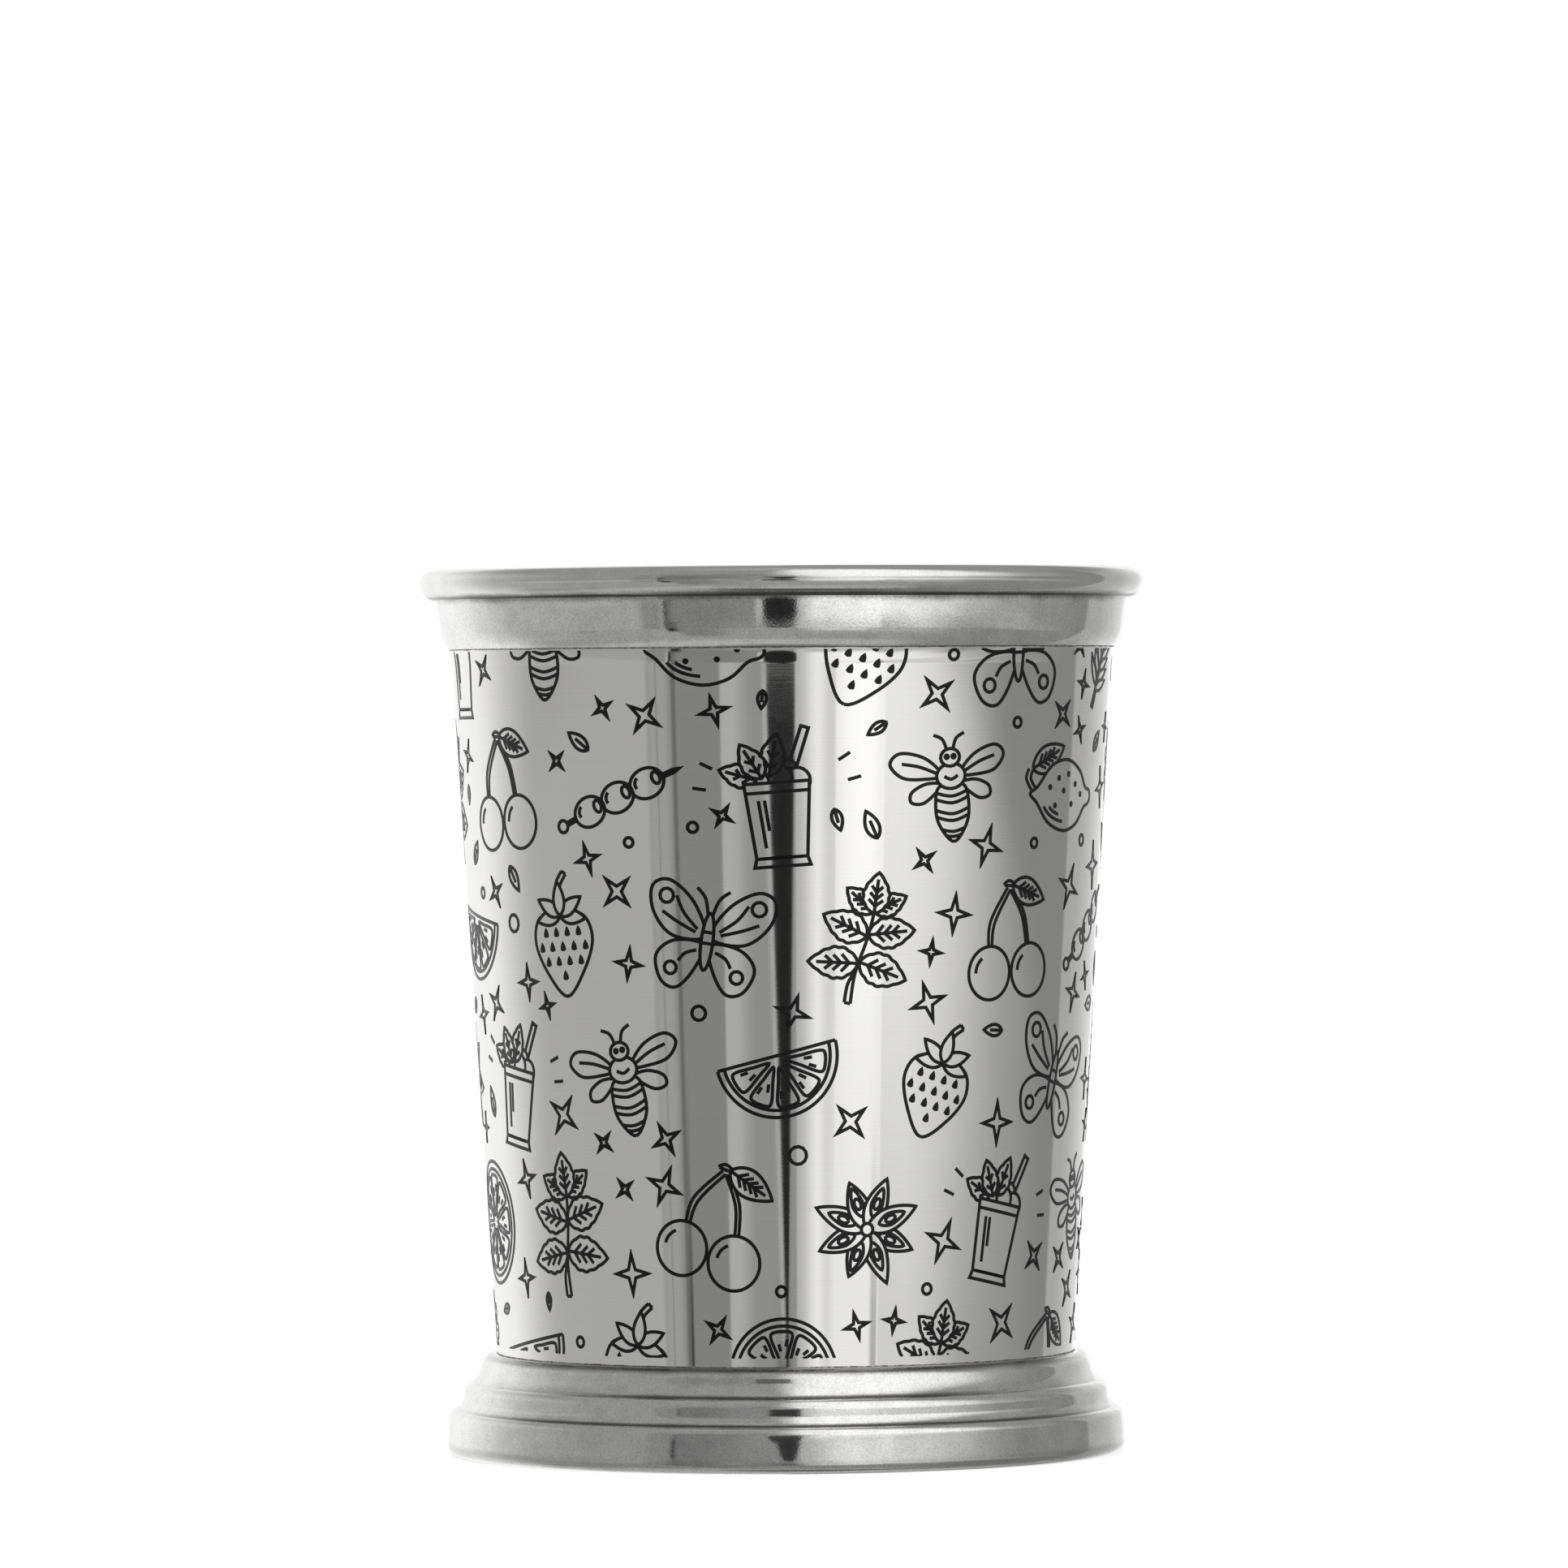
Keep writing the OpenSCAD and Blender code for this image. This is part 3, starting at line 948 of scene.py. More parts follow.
def small_cup():
    cup = straight((-3.7, 2.6), (-2.9, -6.2), (2.9, -6.2), (3.7, 2.6), (-3.7, 2.6))
    foot = straight((-3.2, -7.2), (-2.9, -6.2), (2.9, -6.2), (3.2, -7.2), (-3.2, -7.2))
    details = [cup, straight((-3.6, 1.5), (3.6, 1.5)), foot,
               straight((-2.2, 0.6), (-1.7, -5)), straight((-1.5, 0.6), (-1.2, -3))]
    layers = [(details, cup)]
    for x, y, turn, length in ((-1.6, 3.2, 118, 4.6), (-2.2, 3.0, 160, 4.4), (-0.8, 3.4, 76, 5.0)):
        layers.append(placed(leaf(length, 2.5, 2, 4), x, y, turn=turn))
    for x, y, r in ((-2.2, 2.7, 1.4), (0.2, 3.1, 1.6), (2.3, 2.7, 1.5), (1.2, 4.2, 1.1)):
        layers.append(([ring(x, y, r)], ring(x, y, r)))
    straw = straight((0.9, 3), (3.2, 9), (4.0, 8.7), (1.9, 3), (0.9, 3))
    layers.append(([straw], straw))
    return moved(painted(*layers), y=-0.6) + rays(8.2, 9.8, 12, 30, 150, 168)


def lemon():
    top = [(-7.2, 0.2), (-5.8, 1.1), (-3.2, 3.6), (0.3, 4.3), (3.6, 3.0), (5.4, 1.1), (6.8, 0.7)]
    bottom = [(7.2, -0.2), (6.6, -0.9), (5.2, -1.4), (3.0, -3.4), (-0.2, -4.2), (-3.6, -3.2), (-5.9, -0.9)]
    shape = smooth(*top, *bottom, closed=True, spans=4)
    pores = [ring(x, y, 0.16) for x, y in (
        (-3.4, 1.0), (-1.6, 2.1), (0.6, 2.6), (-0.4, 0.6), (2.4, 1.4), (4.0, 0.2), (1.6, -1.0), (-2.2, -1.2))]
    shade = [ring(0, 0, 5.0, 3.1, 205, 265), ring(0, 0, 4.2, 2.4, 215, 250)]
    stem = [smooth((-7.0, 0.6), (-8.0, 2.0), (-7.6, 3.2)), smooth((-6.3, 0.9), (-7.2, 2.0), (-6.9, 3.1))]
    first = placed(leaf(6.6, 3.2, 4), -6.9, 3.2, turn=24)
    return moved(painted(([shape] + pores + shade, shape), first, (stem, None)), 0.6, -0.8, turn=-14)


def berry():
    shape = smooth((0, -6.6), (-2.9, -3.8), (-4.6, -0.2), (-3.6, 2.7), (0, 3.3), (3.6, 2.7), (4.6, -0.2),
                   (2.9, -3.8), closed=True)
    seeds = []
    for row, y in enumerate((-4.3, -2.6, -0.9, 0.8)):
        for k in range(-2, 3):
            x = 1.75 * (k + 0.5 * (row % 2))
            drop = smooth((x, y + 0.42), (x - 0.2, y - 0.15), (x + 0.2, y - 0.15), closed=True, spans=3)
            if inside(np.array([[x * 1.2, y - 0.6]]), shape)[0]:
                seeds.append(drop)
    layers = [placed(leaf(3.9, 1.7, 0), 0, 2.9, turn=turn) for turn in (90, 30, 150, -8, 188)]
    layers.append(([shape] + seeds, shape))
    layers.append(([smooth((-0.3, 5), (-0.2, 6.6), (0.9, 8.0)), smooth((0.3, 5), (0.5, 6.4), (1.5, 7.6)),
                    straight((0.9, 8.0), (1.5, 7.6))], None))
    return moved(painted(*layers), turn=-10)


def star_anise():
    layers = [([ring(0, 0, 0.8)], ring(0, 0, 0.8))]
    for k in range(8):
        lines, shape = leaf(7.4 - 0.5 * (k % 3), 2.9, 0)
        slit = smooth((1.8, 0), (3.4, -0.75), (5.6, 0), (3.4, 0.75), closed=True, spans=5)
        layers.append(placed((lines + [slit, ring(3.5, 0, 0.72, 0.42)], shape), turn=45 * k + 7))
    return painted(*layers)


def butterfly():
    upper = smooth((0.4, 0.6), (2.2, 4.6), (5.6, 7.0), (7.9, 6.0), (7.4, 2.8), (4.6, 0.2), closed=True)
    lower = smooth((0.4, -0.4), (4.2, -0.4), (6.4, -2.6), (5.4, -5.6), (3.2, -6.2), (1.2, -3.6), closed=True)
    body = ring(0, 0, 0.75, 3.6)
    layers = [([body, straight((-0.6, 1.2), (0.6, 1.2)), straight((-0.7, -0.2), (0.7, -0.2))], body)]
    for side in (False, True):
        wing = [upper, ring(5.9, 5.0, 0.9), smooth((1.4, 1.4), (3.4, 3.2), (4.6, 5.2)),
                smooth((1.6, 1.0), (4.2, 2.0), (6.2, 3.0))]
        tail = [lower, ring(4.3, -3.9, 0.8), smooth((1.2, -1.2), (2.6, -1.8), (3.4, -2.9))]
        layers.append(placed((wing, upper), flip=side))
        layers.append(placed((tail, lower), flip=side))
        layers.append((moved([smooth((0.3, 3.4), (0.9, 5.4), (2.1, 6.6))], flip=side), None))
    return painted(*layers)


def rosemary():
    layers = []
    for k in range(9):
        y = -6.0 + 1.45 * k
        length = 4.2 - 0.22 * k
        x = 0.5 * math.sin(0.3 * k)
        layers.append(placed(leaf(length, 1.15, 0), x, y, turn=38 + 2 * k))
        layers.append(placed(leaf(length, 1.15, 0), x, y + 0.5, turn=142 - 2 * k))
    layers.append(placed(leaf(3.2, 1.15, 0), 0.2, 6.8, turn=90))
    layers.append(([smooth((0.2, 6.8), (0.5, 2), (0, -5), (-0.3, -8.6)),
                    smooth((0.2, 6.8), (1.0, 2), (0.5, -5), (0.3, -8.6))], None))
    return moved(painted(*layers), turn=-24)


def sparkle(size=2.0):
    """A small star with four hollow points."""
    corners = [(size * r * math.cos(math.radians(45 * k)), size * r * math.sin(math.radians(45 * k)))
               for k, r in enumerate((1, 0.3) * 4)]
    return [straight(*corners, corners[0])]


def small_ring():
    return [ring(0, 0, 0.95)]


def small_leaf():
    return moved(leaf(3.2, 1.5, 0)[0] + [straight((0.2, 0), (2.1, 0))], -1.6)


MOTIFS = (citrus_wheel, mint_sprig, cherries, olive_pick, pineapple, star_anise, small_cup, bee, lemon, daisy,
          citrus_half, berry, butterfly, rosemary)
MARKS = (sparkle, small_ring, small_leaf)


def mitres(line):
    """How much wider a line is drawn at each of its points, so that it keeps its width round a corner."""
    steps = np.diff(line, axis=0)
    steps = steps / np.maximum(np.linalg.norm(steps, axis=1), 1e-9)[:, None]
    closed = np.linalg.norm(line[0] - line[-1]) < NEARLY_NONE
    cosines = np.ones(len(line))
    cosines[1:-1] = np.sum(steps[1:] * steps[:-1], axis=1)
    if closed:
        cosines[0] = cosines[-1] = steps[0] @ steps[-1]
    return np.minimum(1 / np.sqrt(np.maximum((1 + cosines) / 2, 0.02)), WIDEST_CORNER)


def wire(name, lines, collection):
    """A drawing as a mesh of edges. Each point carries how much wider the line is there."""
    points = []
    edges = []
    widths = []
    for line in lines:
        closed = len(line) > 3 and np.linalg.norm(line[0] - line[-1]) < NEARLY_NONE
        wide = mitres(line)
        count = len(line) - 1 if closed else len(line)
        first = len(points)
        points += [(x, y, 0.0) for x, y in line[:count]]
        widths += list(wide[:count])
        edges += [(first + i, first + i + 1) for i in range(count - 1)]
        if closed:
            edges.append((first + count - 1, first))
    mesh = bpy.data.meshes.new(name)
    mesh.from_pydata(points, edges, [])
    mesh.attributes.new("wider", "FLOAT", "POINT").data.foreach_set("value", widths)
    drawing = bpy.data.objects.new(name, mesh)
    collection.objects.link(drawing)
    return drawing


def plan_print(width, height, drawings, marks):
    """Where each drawing goes: rows of large ones, each row half a step on, and small marks in the gaps."""
    chance = random.Random(print_seed)
    pitch = width / print_columns
    stray_u, stray_v = print_stray
    large = []
    taken = []
    for row in range(round(height / print_row_pitch) + 1):
        for column in range(print_columns):
            which = (column + row * 5) % len(drawings)
            u = (column + 0.5 * (row % 2)) * pitch + chance.uniform(-stray_u, stray_u)
            v = row * print_row_pitch - 1.5 + chance.uniform(-stray_v, stray_v)
            turn = chance.uniform(-print_turn, print_turn)
            size = chance.uniform(*print_sizes)
            large.append((which, u, v, turn, size))
            taken += moved(drawings[which], u, v, turn, size)
    points = np.concatenate(taken)
    small = []
    for size in mark_sizes:
        for _ in range(mark_tries):
            u = chance.uniform(0, width)
            v = chance.uniform(-1, height + 1)
            across = np.abs((points[:, 0] - u + width / 2) % width - width / 2)
            clear = np.min(np.hypot(across, points[:, 1] - v))
            which = chance.choice((0, 0, 0, 0, 1, 2))
            if clear < mark_gap + 2.0 * size:
                continue
            turn = chance.uniform(0, 360)
            small.append((which, u, v, turn, size * chance.uniform(0.9, 1.05)))
            around = moved(marks[which], u, v, turn, size)
            points = np.concatenate([points] + around)
    return large, small


def print_group():
    """The node tree that draws the print: it sets the drawings out, trims them at the borders, gives the
    lines their width and thickness and lays them round the cone."""
    group = bpy.data.node_groups.new("printed_lines", "GeometryNodeTree")
    face = group.interface
    face.new_socket("Geometry", in_out="INPUT", socket_type="NodeSocketGeometry")
    face.new_socket("Drawings", in_out="INPUT", socket_type="NodeSocketCollection")
    face.new_socket("Section", in_out="INPUT", socket_type="NodeSocketObject")
    for label, value in (("Line width", ink_line_w), ("Line thickness", ink_proud + ink_sunk),
                         ("Lift", (ink_proud - ink_sunk) / 2), ("Low edge", 0.0), ("High edge", 1.0),
                         ("Foot radius", 1.0), ("Foot height", 0.0), ("Wall angle", 0.0),
                         ("Sheet radius", 1.0), ("Flare height", 1.0), ("Flare slope", 0.0),
                         ("Flare bend", 0.0)):
        face.new_socket(label, in_out="INPUT", socket_type="NodeSocketFloat").default_value = value
    face.new_socket("Ink", in_out="INPUT", socket_type="NodeSocketMaterial")
    face.new_socket("Geometry", in_out="OUTPUT", socket_type="NodeSocketGeometry")
    t = Tree(group)
    given = t.node("NodeGroupInput").outputs
    result = t.node("NodeGroupOutput")

    def attribute(name, kind="FLOAT"):
        return t.fed("GeometryNodeInputNamedAttribute", {"Name": name}, data_type=kind).outputs["Attribute"]

    def trimmed(height):
        """A height held between the two borders."""
        return t.maths("MINIMUM", t.maths("MAXIMUM", height, given["Low edge"]), given["High edge"])

    drawings = t.fed("GeometryNodeCollectionInfo", {
        "Collection": given["Drawings"], "Separate Children": True, "Reset Children": True})
    size = attribute("size")
    spread = t.fed("GeometryNodeInstanceOnPoints", {
        "Points": given["Geometry"], "Instance": drawings.outputs[0], "Pick Instance": True,
        "Instance Index": attribute("which", "INT"), "Rotation": t.vector(0.0, 0.0, attribute("turn")),
        "Scale": t.vector(size, size, size)})
    real = t.fed("GeometryNodeRealizeInstances", {0: spread.outputs[0]})

    # Trim: edges wholly outside go, and ends that stick out are drawn back to the border
    ends = t.node("GeometryNodeInputMeshEdgeVertices").outputs
    outside = []
    for border, operation in (("Low edge", "LESS_THAN"), ("High edge", "GREATER_THAN")):
        both = [t.maths(operation, t.parts(ends[end])["Y"], given[border])
                for end in ("Position 1", "Position 2")]
        outside.append(t.maths("MULTIPLY", *both))
    trim = t.fed("GeometryNodeDeleteGeometry", {
        "Geometry": real.outputs[0], "Selection": t.maths("MAXIMUM", *outside)}, domain="EDGE")
    x, y, _ = t.parts(t.node("GeometryNodeInputPosition").outputs[0])
    drawn_back = t.fed("GeometryNodeSetPosition", {
        "Geometry": trim.outputs[0], "Position": t.vector(x, trimmed(y), 0.0)})

    # Lines of ink with a flat section
    curve = t.fed("GeometryNodeMeshToCurve", {"Mesh": drawn_back.outputs[0]})
    upright = t.fed("GeometryNodeSetCurveNormal", {"Curve": curve.outputs[0]}, mode="Z_UP")
    profile = t.fed("GeometryNodeObjectInfo", {"Object": given["Section"]})
    sized = t.fed("GeometryNodeTransform", {
        "Geometry": profile.outputs["Geometry"],
        "Scale": t.vector(given["Line width"], given["Line thickness"], 1.0)})
    profile_curve = t.fed("GeometryNodeMeshToCurve", {"Mesh": sized.outputs[0]})
    swept = t.fed("GeometryNodeCurveToMesh", {
        "Curve": upright.outputs[0], "Profile Curve": profile_curve.outputs[0], "Scale": attribute("wider"),
        "Fill Caps": True})

    # Wrap: the sheet's x runs round the cone, its y up the wall and its z out of it
    x, y, z = t.parts(t.node("GeometryNodeInputPosition").outputs[0])
    y = trimmed(y)
    out = t.maths("ADD", z, given["Lift"])
    sine = t.maths("SINE", given["Wall angle"])
    cosine = t.maths("COSINE", given["Wall angle"])
    radius = t.maths("MULTIPLY_ADD", y, sine, t.maths("MULTIPLY_ADD", out, cosine, given["Foot radius"]))
    rise = t.maths("SUBTRACT", t.maths("MULTIPLY_ADD", y, cosine, given["Foot height"]),
                   t.maths("MULTIPLY", out, sine))
    over = t.maths("MAXIMUM", t.maths("SUBTRACT", rise, given["Flare height"]), 0.0)
    slope = t.maths("MULTIPLY_ADD", over, given["Flare bend"], given["Flare slope"])
    radius = t.maths("MULTIPLY_ADD", over, slope, radius)
    around = t.maths("DIVIDE", x, given["Sheet radius"])
    across = t.maths("MULTIPLY", radius, t.maths("SINE", around))
    toward_back = t.maths("MULTIPLY", radius, t.maths("MULTIPLY", t.maths("COSINE", around), -1.0))
    wrapped = t.fed("GeometryNodeSetPosition", {
        "Geometry": swept.outputs[0], "Position": t.vector(across, toward_back, rise)})
    in_metres = t.fed("GeometryNodeTransform", {"Geometry": wrapped.outputs[0], "Scale": (MM, MM, MM)})
    inked = t.fed("GeometryNodeSetMaterial", {"Geometry": in_metres.outputs[0], "Material": given["Ink"]})
    t.put(inked.outputs[0], result.inputs[0])
    return group


def print_piece(name, group, places, collection, section, ink, values):
    """Runs the node tree on a set of places and keeps the result as a plain mesh."""
    layout = bpy.data.meshes.new(name + "_layout")
    layout.from_pydata([(u, v, 0) for _, u, v, _, _ in places], [], [])
    for label, kind, column in (("which", "INT", 0), ("turn", "FLOAT", 3), ("size", "FLOAT", 4)):
        values_of = [math.radians(p[column]) if label == "turn" else p[column] for p in places]
        layout.attributes.new(label, kind, "POINT").data.foreach_set("value", values_of)
    holder = bpy.data.objects.new(name + "_layout", layout)
    scene.collection.objects.link(holder)
    modifier = holder.modifiers.new("print", "NODES")
    modifier.node_group = group
    keys = {item.name: item.identifier for item in group.interface.items_tree if item.in_out == "INPUT"}
    for label, value in {**values, "Drawings": collection, "Section": section, "Ink": ink}.items():
        modifier[keys[label]] = value
    bpy.context.view_layer.update()
    evaluated = holder.evaluated_get(bpy.context.evaluated_depsgraph_get())
    mesh = bpy.data.meshes.new_from_object(evaluated)
    mesh.name = name
    holder.modifiers.clear()
    bpy.data.objects.remove(holder)
    piece = bpy.data.objects.new(name, mesh)
    scene.collection.objects.link(piece)
    return piece


def make_print(ink):
    """The decoration round the wall, as thin lines of ink."""
    sheet_r = wall_r((print_low_z + print_high_z) / 2)
    width = 2 * math.pi * sheet_r
    height = (print_high_z - print_low_z) / math.cos(math.radians(wall_a))
    (flare_start, flare_lean), (flare_end, lean_end) = flare_turns[1:]
    lean, more = (math.tan(math.radians(a)) for a in (flare_lean, lean_end))
    group_values = {
        "Line width": ink_line_w, "Line thickness": ink_proud + ink_sunk, "Lift": (ink_proud - ink_sunk) / 2,
        "Low edge": 0.0, "High edge": height, "Foot radius": wall_r(print_low_z), "Foot height": print_low_z,
        "Wall angle": math.radians(wall_a), "Sheet radius": sheet_r, "Flare height": flare_start,
        "Flare slope": lean - wall_slope, "Flare bend": (more - lean) / 2 / (flare_end - flare_start)}
    drawings = [motif() for motif in MOTIFS]
    marks = [mark() for mark in MARKS]
    large, small = plan_print(width, height, drawings, marks)
    helpers = bpy.data.collections.new("print_helpers")
    scene.collection.children.link(helpers)
    square = bpy.data.meshes.new("ink_section")
    square.from_pydata([(-0.5, -0.5, 0), (0.5, -0.5, 0), (0.5, 0.5, 0), (-0.5, 0.5, 0)],
                       [(0, 1), (1, 2), (2, 3), (3, 0)], [])
    section = bpy.data.objects.new("ink_section", square)
    helpers.objects.link(section)
    group = print_group()
    pieces = []
    half = height / 2
    for name, lines, places in (
            ("print_lower", drawings, [p for p in large if p[2] < half]),
            ("print_upper", drawings, [p for p in large if p[2] >= half]),
            ("print_marks", marks, small)):
        collection = bpy.data.collections.new(name + "_drawings")
        helpers.children.link(collection)
        for number, drawing in enumerate(lines):
            wire("%s_%02d" % (name, number), drawing, collection)
        pieces.append(print_piece(name, group, places, collection, section, ink, group_values))
        for drawing in list(collection.objects):
            bpy.data.objects.remove(drawing)
        bpy.data.collections.remove(collection)
    bpy.data.objects.remove(section)
    bpy.data.collections.remove(helpers)
    for piece in pieces:
        piece.data.polygons.foreach_set("use_smooth", [False] * len(piece.data.polygons))
        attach(piece, "root")
    return pieces


# Finishes

def lines_group():
    """Fine lines that polishing leaves round a turned piece. The map runs round the piece and along its
    profile, in metres."""
    group, t, given, result = new_group(
        "polishing_lines", [("Map", VECTOR, None), ("Round", FLOAT, 60.0), ("Along", FLOAT, 6500.0)],
        [("Lines", FLOAT)])
    g = given.outputs
    stretched = t.fed("ShaderNodeVectorMath", {0: g["Map"], 1: t.vector(g["Round"], g["Along"])},
                      operation="MULTIPLY")
    t.put(t.noise(stretched.outputs[0], 1.0, 4.0, 0.65), result.inputs[0])
    return group


def grain_group():
    """Fine grain that buffing leaves, and the larger soft patches between hazier and clearer metal."""
    group, t, given, result = new_group(
        "buffing_grain",
        [("Position", VECTOR, None), ("Grain size", FLOAT, 0.00024), ("Patch size", FLOAT, 0.003)],
        [("Grain", FLOAT), ("Patches", FLOAT)])
    g = given.outputs
    t.put(t.noise(g["Position"], t.maths("DIVIDE", 1.0, g["Grain size"]), 2.0, 0.7), result.inputs[0])
    patches = t.noise(g["Position"], t.maths("DIVIDE", 1.0, g["Patch size"]), 4.0, 0.6)
    t.put(t.ramp(patches, 0.3, 0.7), result.inputs[1])
    return group


def dirt_and_shade_group():
    """Darkening round a crevice that runs round the object, for polishing dirt held in a seam and for painted
    shade in creases and under parts. It thins out unevenly away from it, and fades out at the object's two
    sides, from a share of the radius outward."""
    group, t, given, result = new_group(
        "crevice_dirt_and_shade", [("Under", FLOAT, 0.0), ("Position", VECTOR, None), ("Radius", FLOAT, 0.04),
                          ("Height", FLOAT, 0.0), ("Reach", FLOAT, 0.0005), ("Amount", FLOAT, 1.0),
                          ("Fades from", FLOAT, 0.8)],
        [("Dirt and shade", FLOAT)])
    g = given.outputs
    x, y, z = t.parts(g["Position"])
    radius = t.maths("SQRT", t.maths("MULTIPLY_ADD", x, x, t.maths("MULTIPLY", y, y)))
    out = t.maths("SUBTRACT", radius, g["Radius"])
    up = t.maths("SUBTRACT", z, g["Height"])
    away = t.maths("SQRT", t.maths("MULTIPLY_ADD", out, out, t.maths("MULTIPLY", up, up)))
    uneven = t.maths("MULTIPLY_ADD", t.noise(g["Position"], 150.0, 2.0, 0.5), 0.9, 0.55)
    speckled = t.maths("MULTIPLY_ADD", t.noise(g["Position"], 3000.0, 2.0, 0.7), 0.5, 0.75)
    reach = t.maths("MULTIPLY", g["Reach"], t.maths("MULTIPLY", uneven, speckled))
    # Painted shade and seam dirt: darkest nearest the crevice, thinning out with distance from it
    dirt_and_shade = t.ramp(away, t.maths("MULTIPLY", reach, 0.2), reach, 1.0, 0.0)
    side = t.maths("DIVIDE", t.maths("ABSOLUTE", x), radius)
    kept = t.ramp(side, g["Fades from"], t.maths("ADD", g["Fades from"], 0.35), 1.0, 0.1)
    amount = t.maths("MULTIPLY", g["Amount"], kept)
    t.put(t.maths("MAXIMUM", g["Under"], t.maths("MULTIPLY", dirt_and_shade, amount)), result.inputs[0])
    return group


def pits_group():
    """A few small pits, one in some of the cells that the metal is parted into."""
    group, t, given, result = new_group(
        "pits", [("Position", VECTOR, None), ("Spacing", FLOAT, 0.0026), ("Size", FLOAT, 0.00014),
                 ("Share", FLOAT, 0.22)], [("Pits", FLOAT)])
    g = given.outputs
    cells = t.fed("ShaderNodeTexVoronoi", {
        "Vector": g["Position"], "Scale": t.maths("DIVIDE", 1.0, g["Spacing"])})
    drawn = t.fed("ShaderNodeSeparateColor", {0: cells.outputs["Color"]})
    size = t.maths("MULTIPLY", g["Size"], t.maths("MULTIPLY_ADD", drawn.outputs[1], 0.8, 0.3))
    size = t.maths("DIVIDE", size, g["Spacing"])
    pit = t.ramp(cells.outputs["Distance"], t.maths("MULTIPLY", size, 0.5), size, 1.0, 0.0)
    chosen = t.maths("LESS_THAN", drawn.outputs[0], g["Share"])
    t.put(t.maths("MULTIPLY", pit, chosen), result.inputs[0])
    return group


# Colour of the seam dirt and of the painted shade in creases and under parts
DIRT_AND_SHADE_COLOUR = (0.05, 0.047, 0.043)
BUFFED_STEEL = (0.76, 0.757, 0.75)
LINES = lines_group()
GRAIN = grain_group()
DIRT_AND_SHADE_RINGS = dirt_and_shade_group()
PITS = pits_group()


def new_material(name):
    """A material with its tools and its principled shader."""
    material = bpy.data.materials.new(name)
    material.use_nodes = True
    return material, Tree(material.node_tree), material.node_tree.nodes["Principled BSDF"]


def make_metal(name, metal, roughness, crevices=(), haze=0.0, clouds=0.0, grain=0.0, lines=0.0, pits=0.0):
    """Polished or satin steel.
    crevices are (radius, height, reach, amount, fades from) in millimetres, where seam dirt and painted shade
    darken the colour.
    haze is how much rougher the hazy patches are, and clouds how much darker.
    grain, lines and pits are how strongly each shows."""
    material, t, shader = new_material(name)
    coordinates = t.node("ShaderNodeTexCoord")
    position = coordinates.outputs["Object"]

    line_marks = t.fed("ShaderNodeGroup", {"Map": coordinates.outputs["UV"]}, node_tree=LINES)
    grain_marks = t.fed("ShaderNodeGroup", {"Position": position}, node_tree=GRAIN)
    dirt_and_shade = 0.0
    # Each ring adds darkening: dirt at the seams, painted shade in the creases, under the bead and at the toe
    for radius, height, reach, amount, fades_from in crevices:
        mix_mask = t.fed("ShaderNodeGroup", {
            "Under": dirt_and_shade, "Position": position, "Radius": radius * MM, "Height": height * MM,
            "Reach": reach * MM, "Amount": amount, "Fades from": fades_from}, node_tree=DIRT_AND_SHADE_RINGS)
        dirt_and_shade = mix_mask.outputs["Dirt and shade"]
    pit = 0.0
    if pits:
        pit = t.fed("ShaderNodeGroup", {"Position": position}, node_tree=PITS).outputs["Pits"]
        dirt_and_shade = t.maths("MAXIMUM", dirt_and_shade, t.maths("MULTIPLY", pit, 0.75))

    # Colour: lines and grain vary it a little; seam dirt and painted shade in creases and under parts darken
    # it, and it is darker in the pits too
    grains = grain_marks.outputs["Grain"]
    patches = grain_marks.outputs["Patches"]
    shade = t.maths("MULTIPLY_ADD", t.maths("SUBTRACT", line_marks.outputs[0], 0.5), lines, 1.0)
    shade = t.maths("MULTIPLY_ADD", t.maths("SUBTRACT", grains, 0.5), grain, shade)
    if clouds:
        shade = t.maths("MULTIPLY_ADD", t.maths("SUBTRACT", 0.5, patches), clouds, shade)
    worn = t.fed("ShaderNodeVectorMath", {0: metal, "Scale": shade}, operation="SCALE")
    # Painted shade and seam dirt mixed into the base colour
    t.put(t.colour(dirt_and_shade, worn.outputs[0], DIRT_AND_SHADE_COLOUR), shader.inputs["Base Color"])
    shader.inputs["Metallic"].default_value = 1.0
    rough = t.maths("MULTIPLY_ADD", patches, haze, roughness)
    t.put(t.maths("MULTIPLY_ADD", dirt_and_shade, 0.3, rough), shader.inputs["Roughness"])

    # Relief: lines and grain up to two or three micrometres deep, and pits somewhat deeper
    relief = t.maths("MULTIPLY", grains, 3.0 * grain)
    relief = t.maths("MULTIPLY_ADD", line_marks.outputs[0], 3.0 * lines, relief)
    if pits:
        relief = t.maths("MULTIPLY_ADD", pit, -pits, relief)
    t.relief(relief, 1e-6, shader)
    return material


def make_solder():
    """Dull grey filler, darker where polishing dirt sits on it."""
    material, t, shader = new_material("solder")
    position = t.node("ShaderNodeTexCoord").outputs["Object"]
    mix_mask = t.ramp(t.noise(position, 1800.0, 4.0, 0.7), 0.38, 0.62)
    t.put(t.colour(mix_mask, (0.16, 0.155, 0.15), (0.42, 0.42, 0.41)), shader.inputs["Base Color"])
    t.put(t.mix(mix_mask, 0.6, 0.38), shader.inputs["Roughness"])
    shader.inputs["Metallic"].default_value = 1.0
    t.relief(t.noise(position, 4200.0, 3.0, 0.6), 1e-5, shader)
    return material


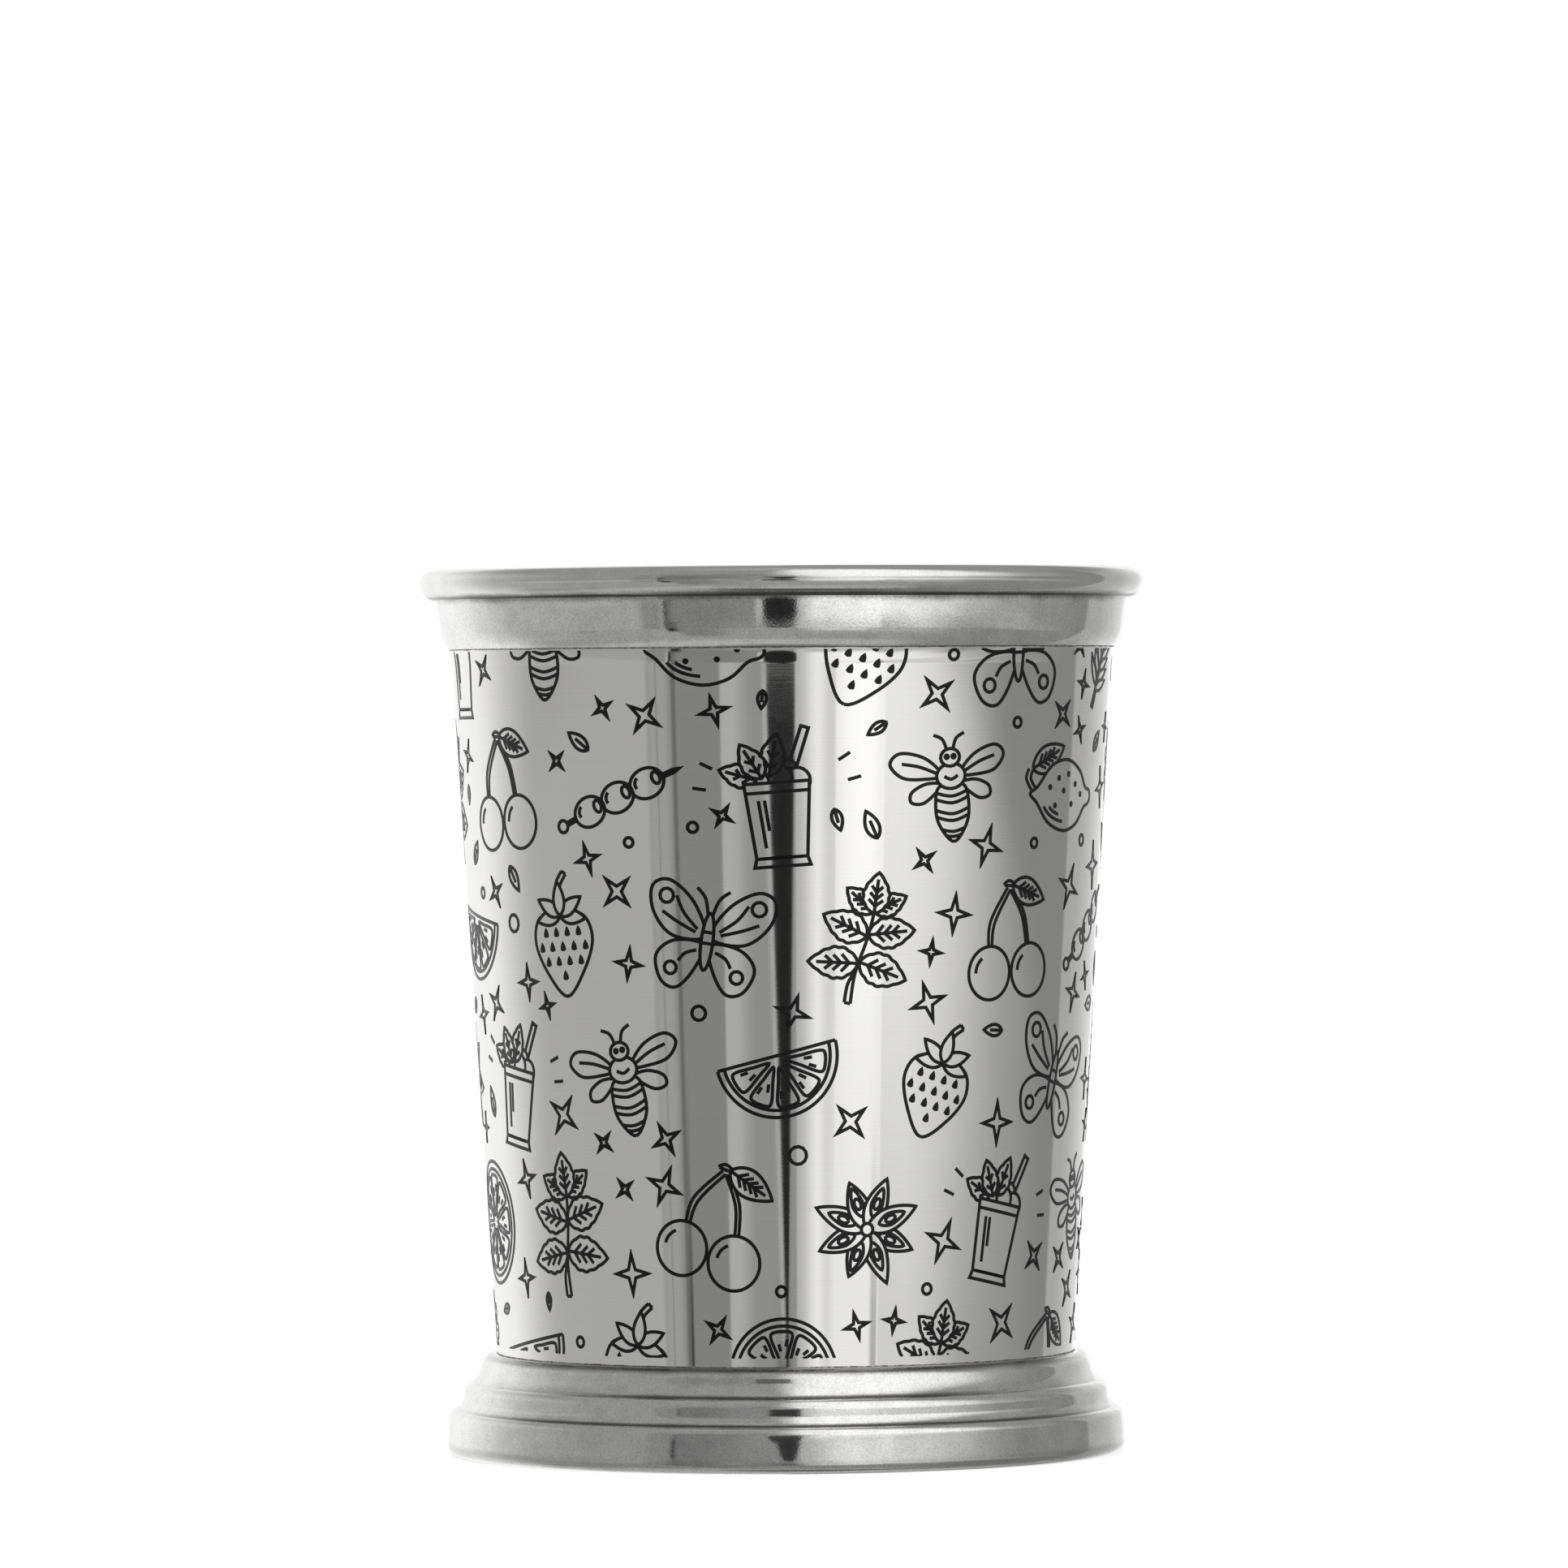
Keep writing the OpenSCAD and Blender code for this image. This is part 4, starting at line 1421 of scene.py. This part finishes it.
def make_ink():
    """Thin black printed ink with a slight gloss, a little uneven."""
    material, t, shader = new_material("black_ink")
    position = t.node("ShaderNodeTexCoord").outputs["Object"]
    patches = t.noise(position, 900.0, 3.0, 0.6)
    t.put(t.colour(patches, (0.0015, 0.0015, 0.0015), (0.006, 0.006, 0.006)), shader.inputs["Base Color"])
    t.put(t.mix(patches, 0.24, 0.38), shader.inputs["Roughness"])
    shader.inputs["Specular IOR Level"].default_value = 0.3
    t.relief(t.noise(position, 5200.0, 2.0, 0.6), 1e-6, shader)
    return material


# Solder seams

WAVES = 14
WANDER = 0.28


def wave(seed, slow, fast):
    """An uneven height for each place round the object, from -1 to 1, that closes on itself."""
    chance = random.Random(seed)
    waves = [(n, chance.uniform(0, 2 * math.pi), chance.uniform(0.4, 1.0))
             for n in chance.sample(range(slow, fast), WAVES)]
    total = sum(amount for _, _, amount in waves) * 0.6
    heights = []
    for j in range(AROUND):
        height = sum(amount * math.sin(2 * math.pi * n * j / AROUND + phase) for n, phase, amount in waves)
        heights.append(max(-1.0, min(1.0, height / total)))
    return heights


def fillet(corner, along, out, seed, bulge=0.3):
    """Outline of a solder fillet in a corner, and how its free face wanders.
    along and out are the far ends of its two legs."""
    corner, along, out = (np.array(p) for p in (corner, along, out))
    middle = (along + out) / 2
    face = [along + (out - along) * t + (corner - middle) * bulge * (1 - abs(t - 0.5) * 2)
            for t in (0.25, 0.5, 0.75)]
    outline = [corner, along, *face, out]
    if signed_area(np.array(outline)) < 0:
        outline = [corner, out, *face[::-1], along]
    uneven = wave(seed, 9, 90)

    def lumps(j, k):
        if k == 0:
            return 0.0, 0.0
        toward = (corner - outline[k]) * WANDER * (1 - uneven[j])
        return toward[0], toward[1]
    return outline, lumps


def finish_piece(piece, node, slot, *materials):
    for material in materials:
        piece.data.materials.append(material)
    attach(piece, "root")
    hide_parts(node)


make_camera()
make_world()
make_floor()
make_lamp("lamp over", (-0.5, -0.7, 1.5), 1.4, 6.0)

# Darkened rings: radius, height, reach, amount and the share of the radius from which the darkening fades out
# Dirt on the solder seam under the band
RIM_SEAM = (40.62, 98.38, 0.28, 0.8, 0.8)
# Painted shade on the band under the bead, and on the bead's lower edge
UNDER_BEAD = (42.75, 104.55, 1.15, 1.0, 0.85)
BEAD_EDGE = (42.75, 104.5, 1.2, 1.0, 0.85)
# Darker blotches over the bead's front and back, fading out towards its sides
BEAD_FRONT = (42.75, 104.5, 1.85, 0.85, 0.25)
# Dirt on the foot's seam, spread into painted shade in the concave corner
FOOT_SEAM = (36.3, 12.12, 1.05, 0.72, 0.78)
# Painted shade in the hollows between the foot's steps, and a painted shadow along the toe's lower edge
UPPER_HOLLOW = (38.35, 8.93, 0.56, 0.8, 0.42)
LOWER_HOLLOW = (40.2, 5.6, 0.56, 0.85, 0.68)
TOE_EDGE = (41.3, 0.95, 1.0, 0.3, 0.9)
# A darker ring round the closing plate's edge
PLATE_EDGE = (34.8, 0.8, 0.9, 0.7, 1.0)

wall_metal = make_metal("polished_wall", (0.78, 0.775, 0.765), 0.035, (RIM_SEAM, FOOT_SEAM),
                        haze=0.01, grain=0.03, lines=0.12)
bead_metal = make_metal("buffed_bead", BUFFED_STEEL, 0.055, (BEAD_EDGE, BEAD_FRONT),
                        haze=0.015, clouds=0.07, grain=0.38, lines=0.06, pits=6.0)
band_metal = make_metal("buffed_band", BUFFED_STEEL, 0.05, (RIM_SEAM, UNDER_BEAD),
                        haze=0.015, clouds=0.12, grain=0.85, lines=0.1, pits=8.0)
foot_metal = make_metal("buffed_foot", BUFFED_STEEL, 0.05,
                        (FOOT_SEAM, UPPER_HOLLOW, LOWER_HOLLOW, TOE_EDGE),
                        haze=0.015, clouds=0.12, grain=0.72, lines=0.1, pits=5.0)
inside_metal = make_metal("satin_inside", (0.74, 0.735, 0.725), 0.3, haze=0.06, grain=0.1, lines=0.35)
plate_metal = make_metal("spun_plate", (0.70, 0.697, 0.69), 0.33, (PLATE_EDGE,),
                         haze=0.06, grain=0.1, lines=0.5)
solder = make_solder()
ink = make_ink()

outline, outside_count = cup_outline()


def cup_skin(k):
    """The cup is polished outside, buffed on the bead and satin inside."""
    outside = k < outside_count
    near_bead = outline[k][1] >= cup_h - bead_finish_h
    if outside and not near_bead:
        return 0
    if outside or outline[k][0] > bead_c[0]:
        return 1
    return 2


cup = lathe("cup_body", outline, skin=cup_skin)
finish_piece(cup, "cup_shell", "cup_steel", wall_metal, bead_metal, inside_metal)
band = lathe("rim_collar", band_outline())
finish_piece(band, "rim_band", "band_steel", band_metal)
foot = lathe("stepped_foot", foot_outline())
finish_piece(foot, "foot_ring", "foot_steel", foot_metal)
plate = lathe("closing_plate", plate_outline())
finish_piece(plate, "base_plate", "base_steel", plate_metal)

edge_r = foot_r - flange_w
for name, node, corner, along, out, seed in (
        ("rim_seam", "rim_solder", on_flare(0, seam_up), on_flare(0, seam_up - rim_fillet),
         on_flare(rim_fillet, seam_up), 3),
        ("foot_seam", "foot_solder", point(wall_foot_r, foot_top_z),
         point(wall_r(foot_top_z + foot_fillet), foot_top_z + foot_fillet),
         point(wall_foot_r + foot_fillet, foot_top_z), 5),
        ("base_seam", "base_solder", point(edge_r, foot_t), point(edge_r, foot_t - plate_fillet),
         point(edge_r - plate_fillet, foot_t), 8)):
    path, lumps = fillet(corner, along, out, seed)
    finish_piece(lathe(name, path, lumps=lumps), node, "solder", solder)

make_print(ink)
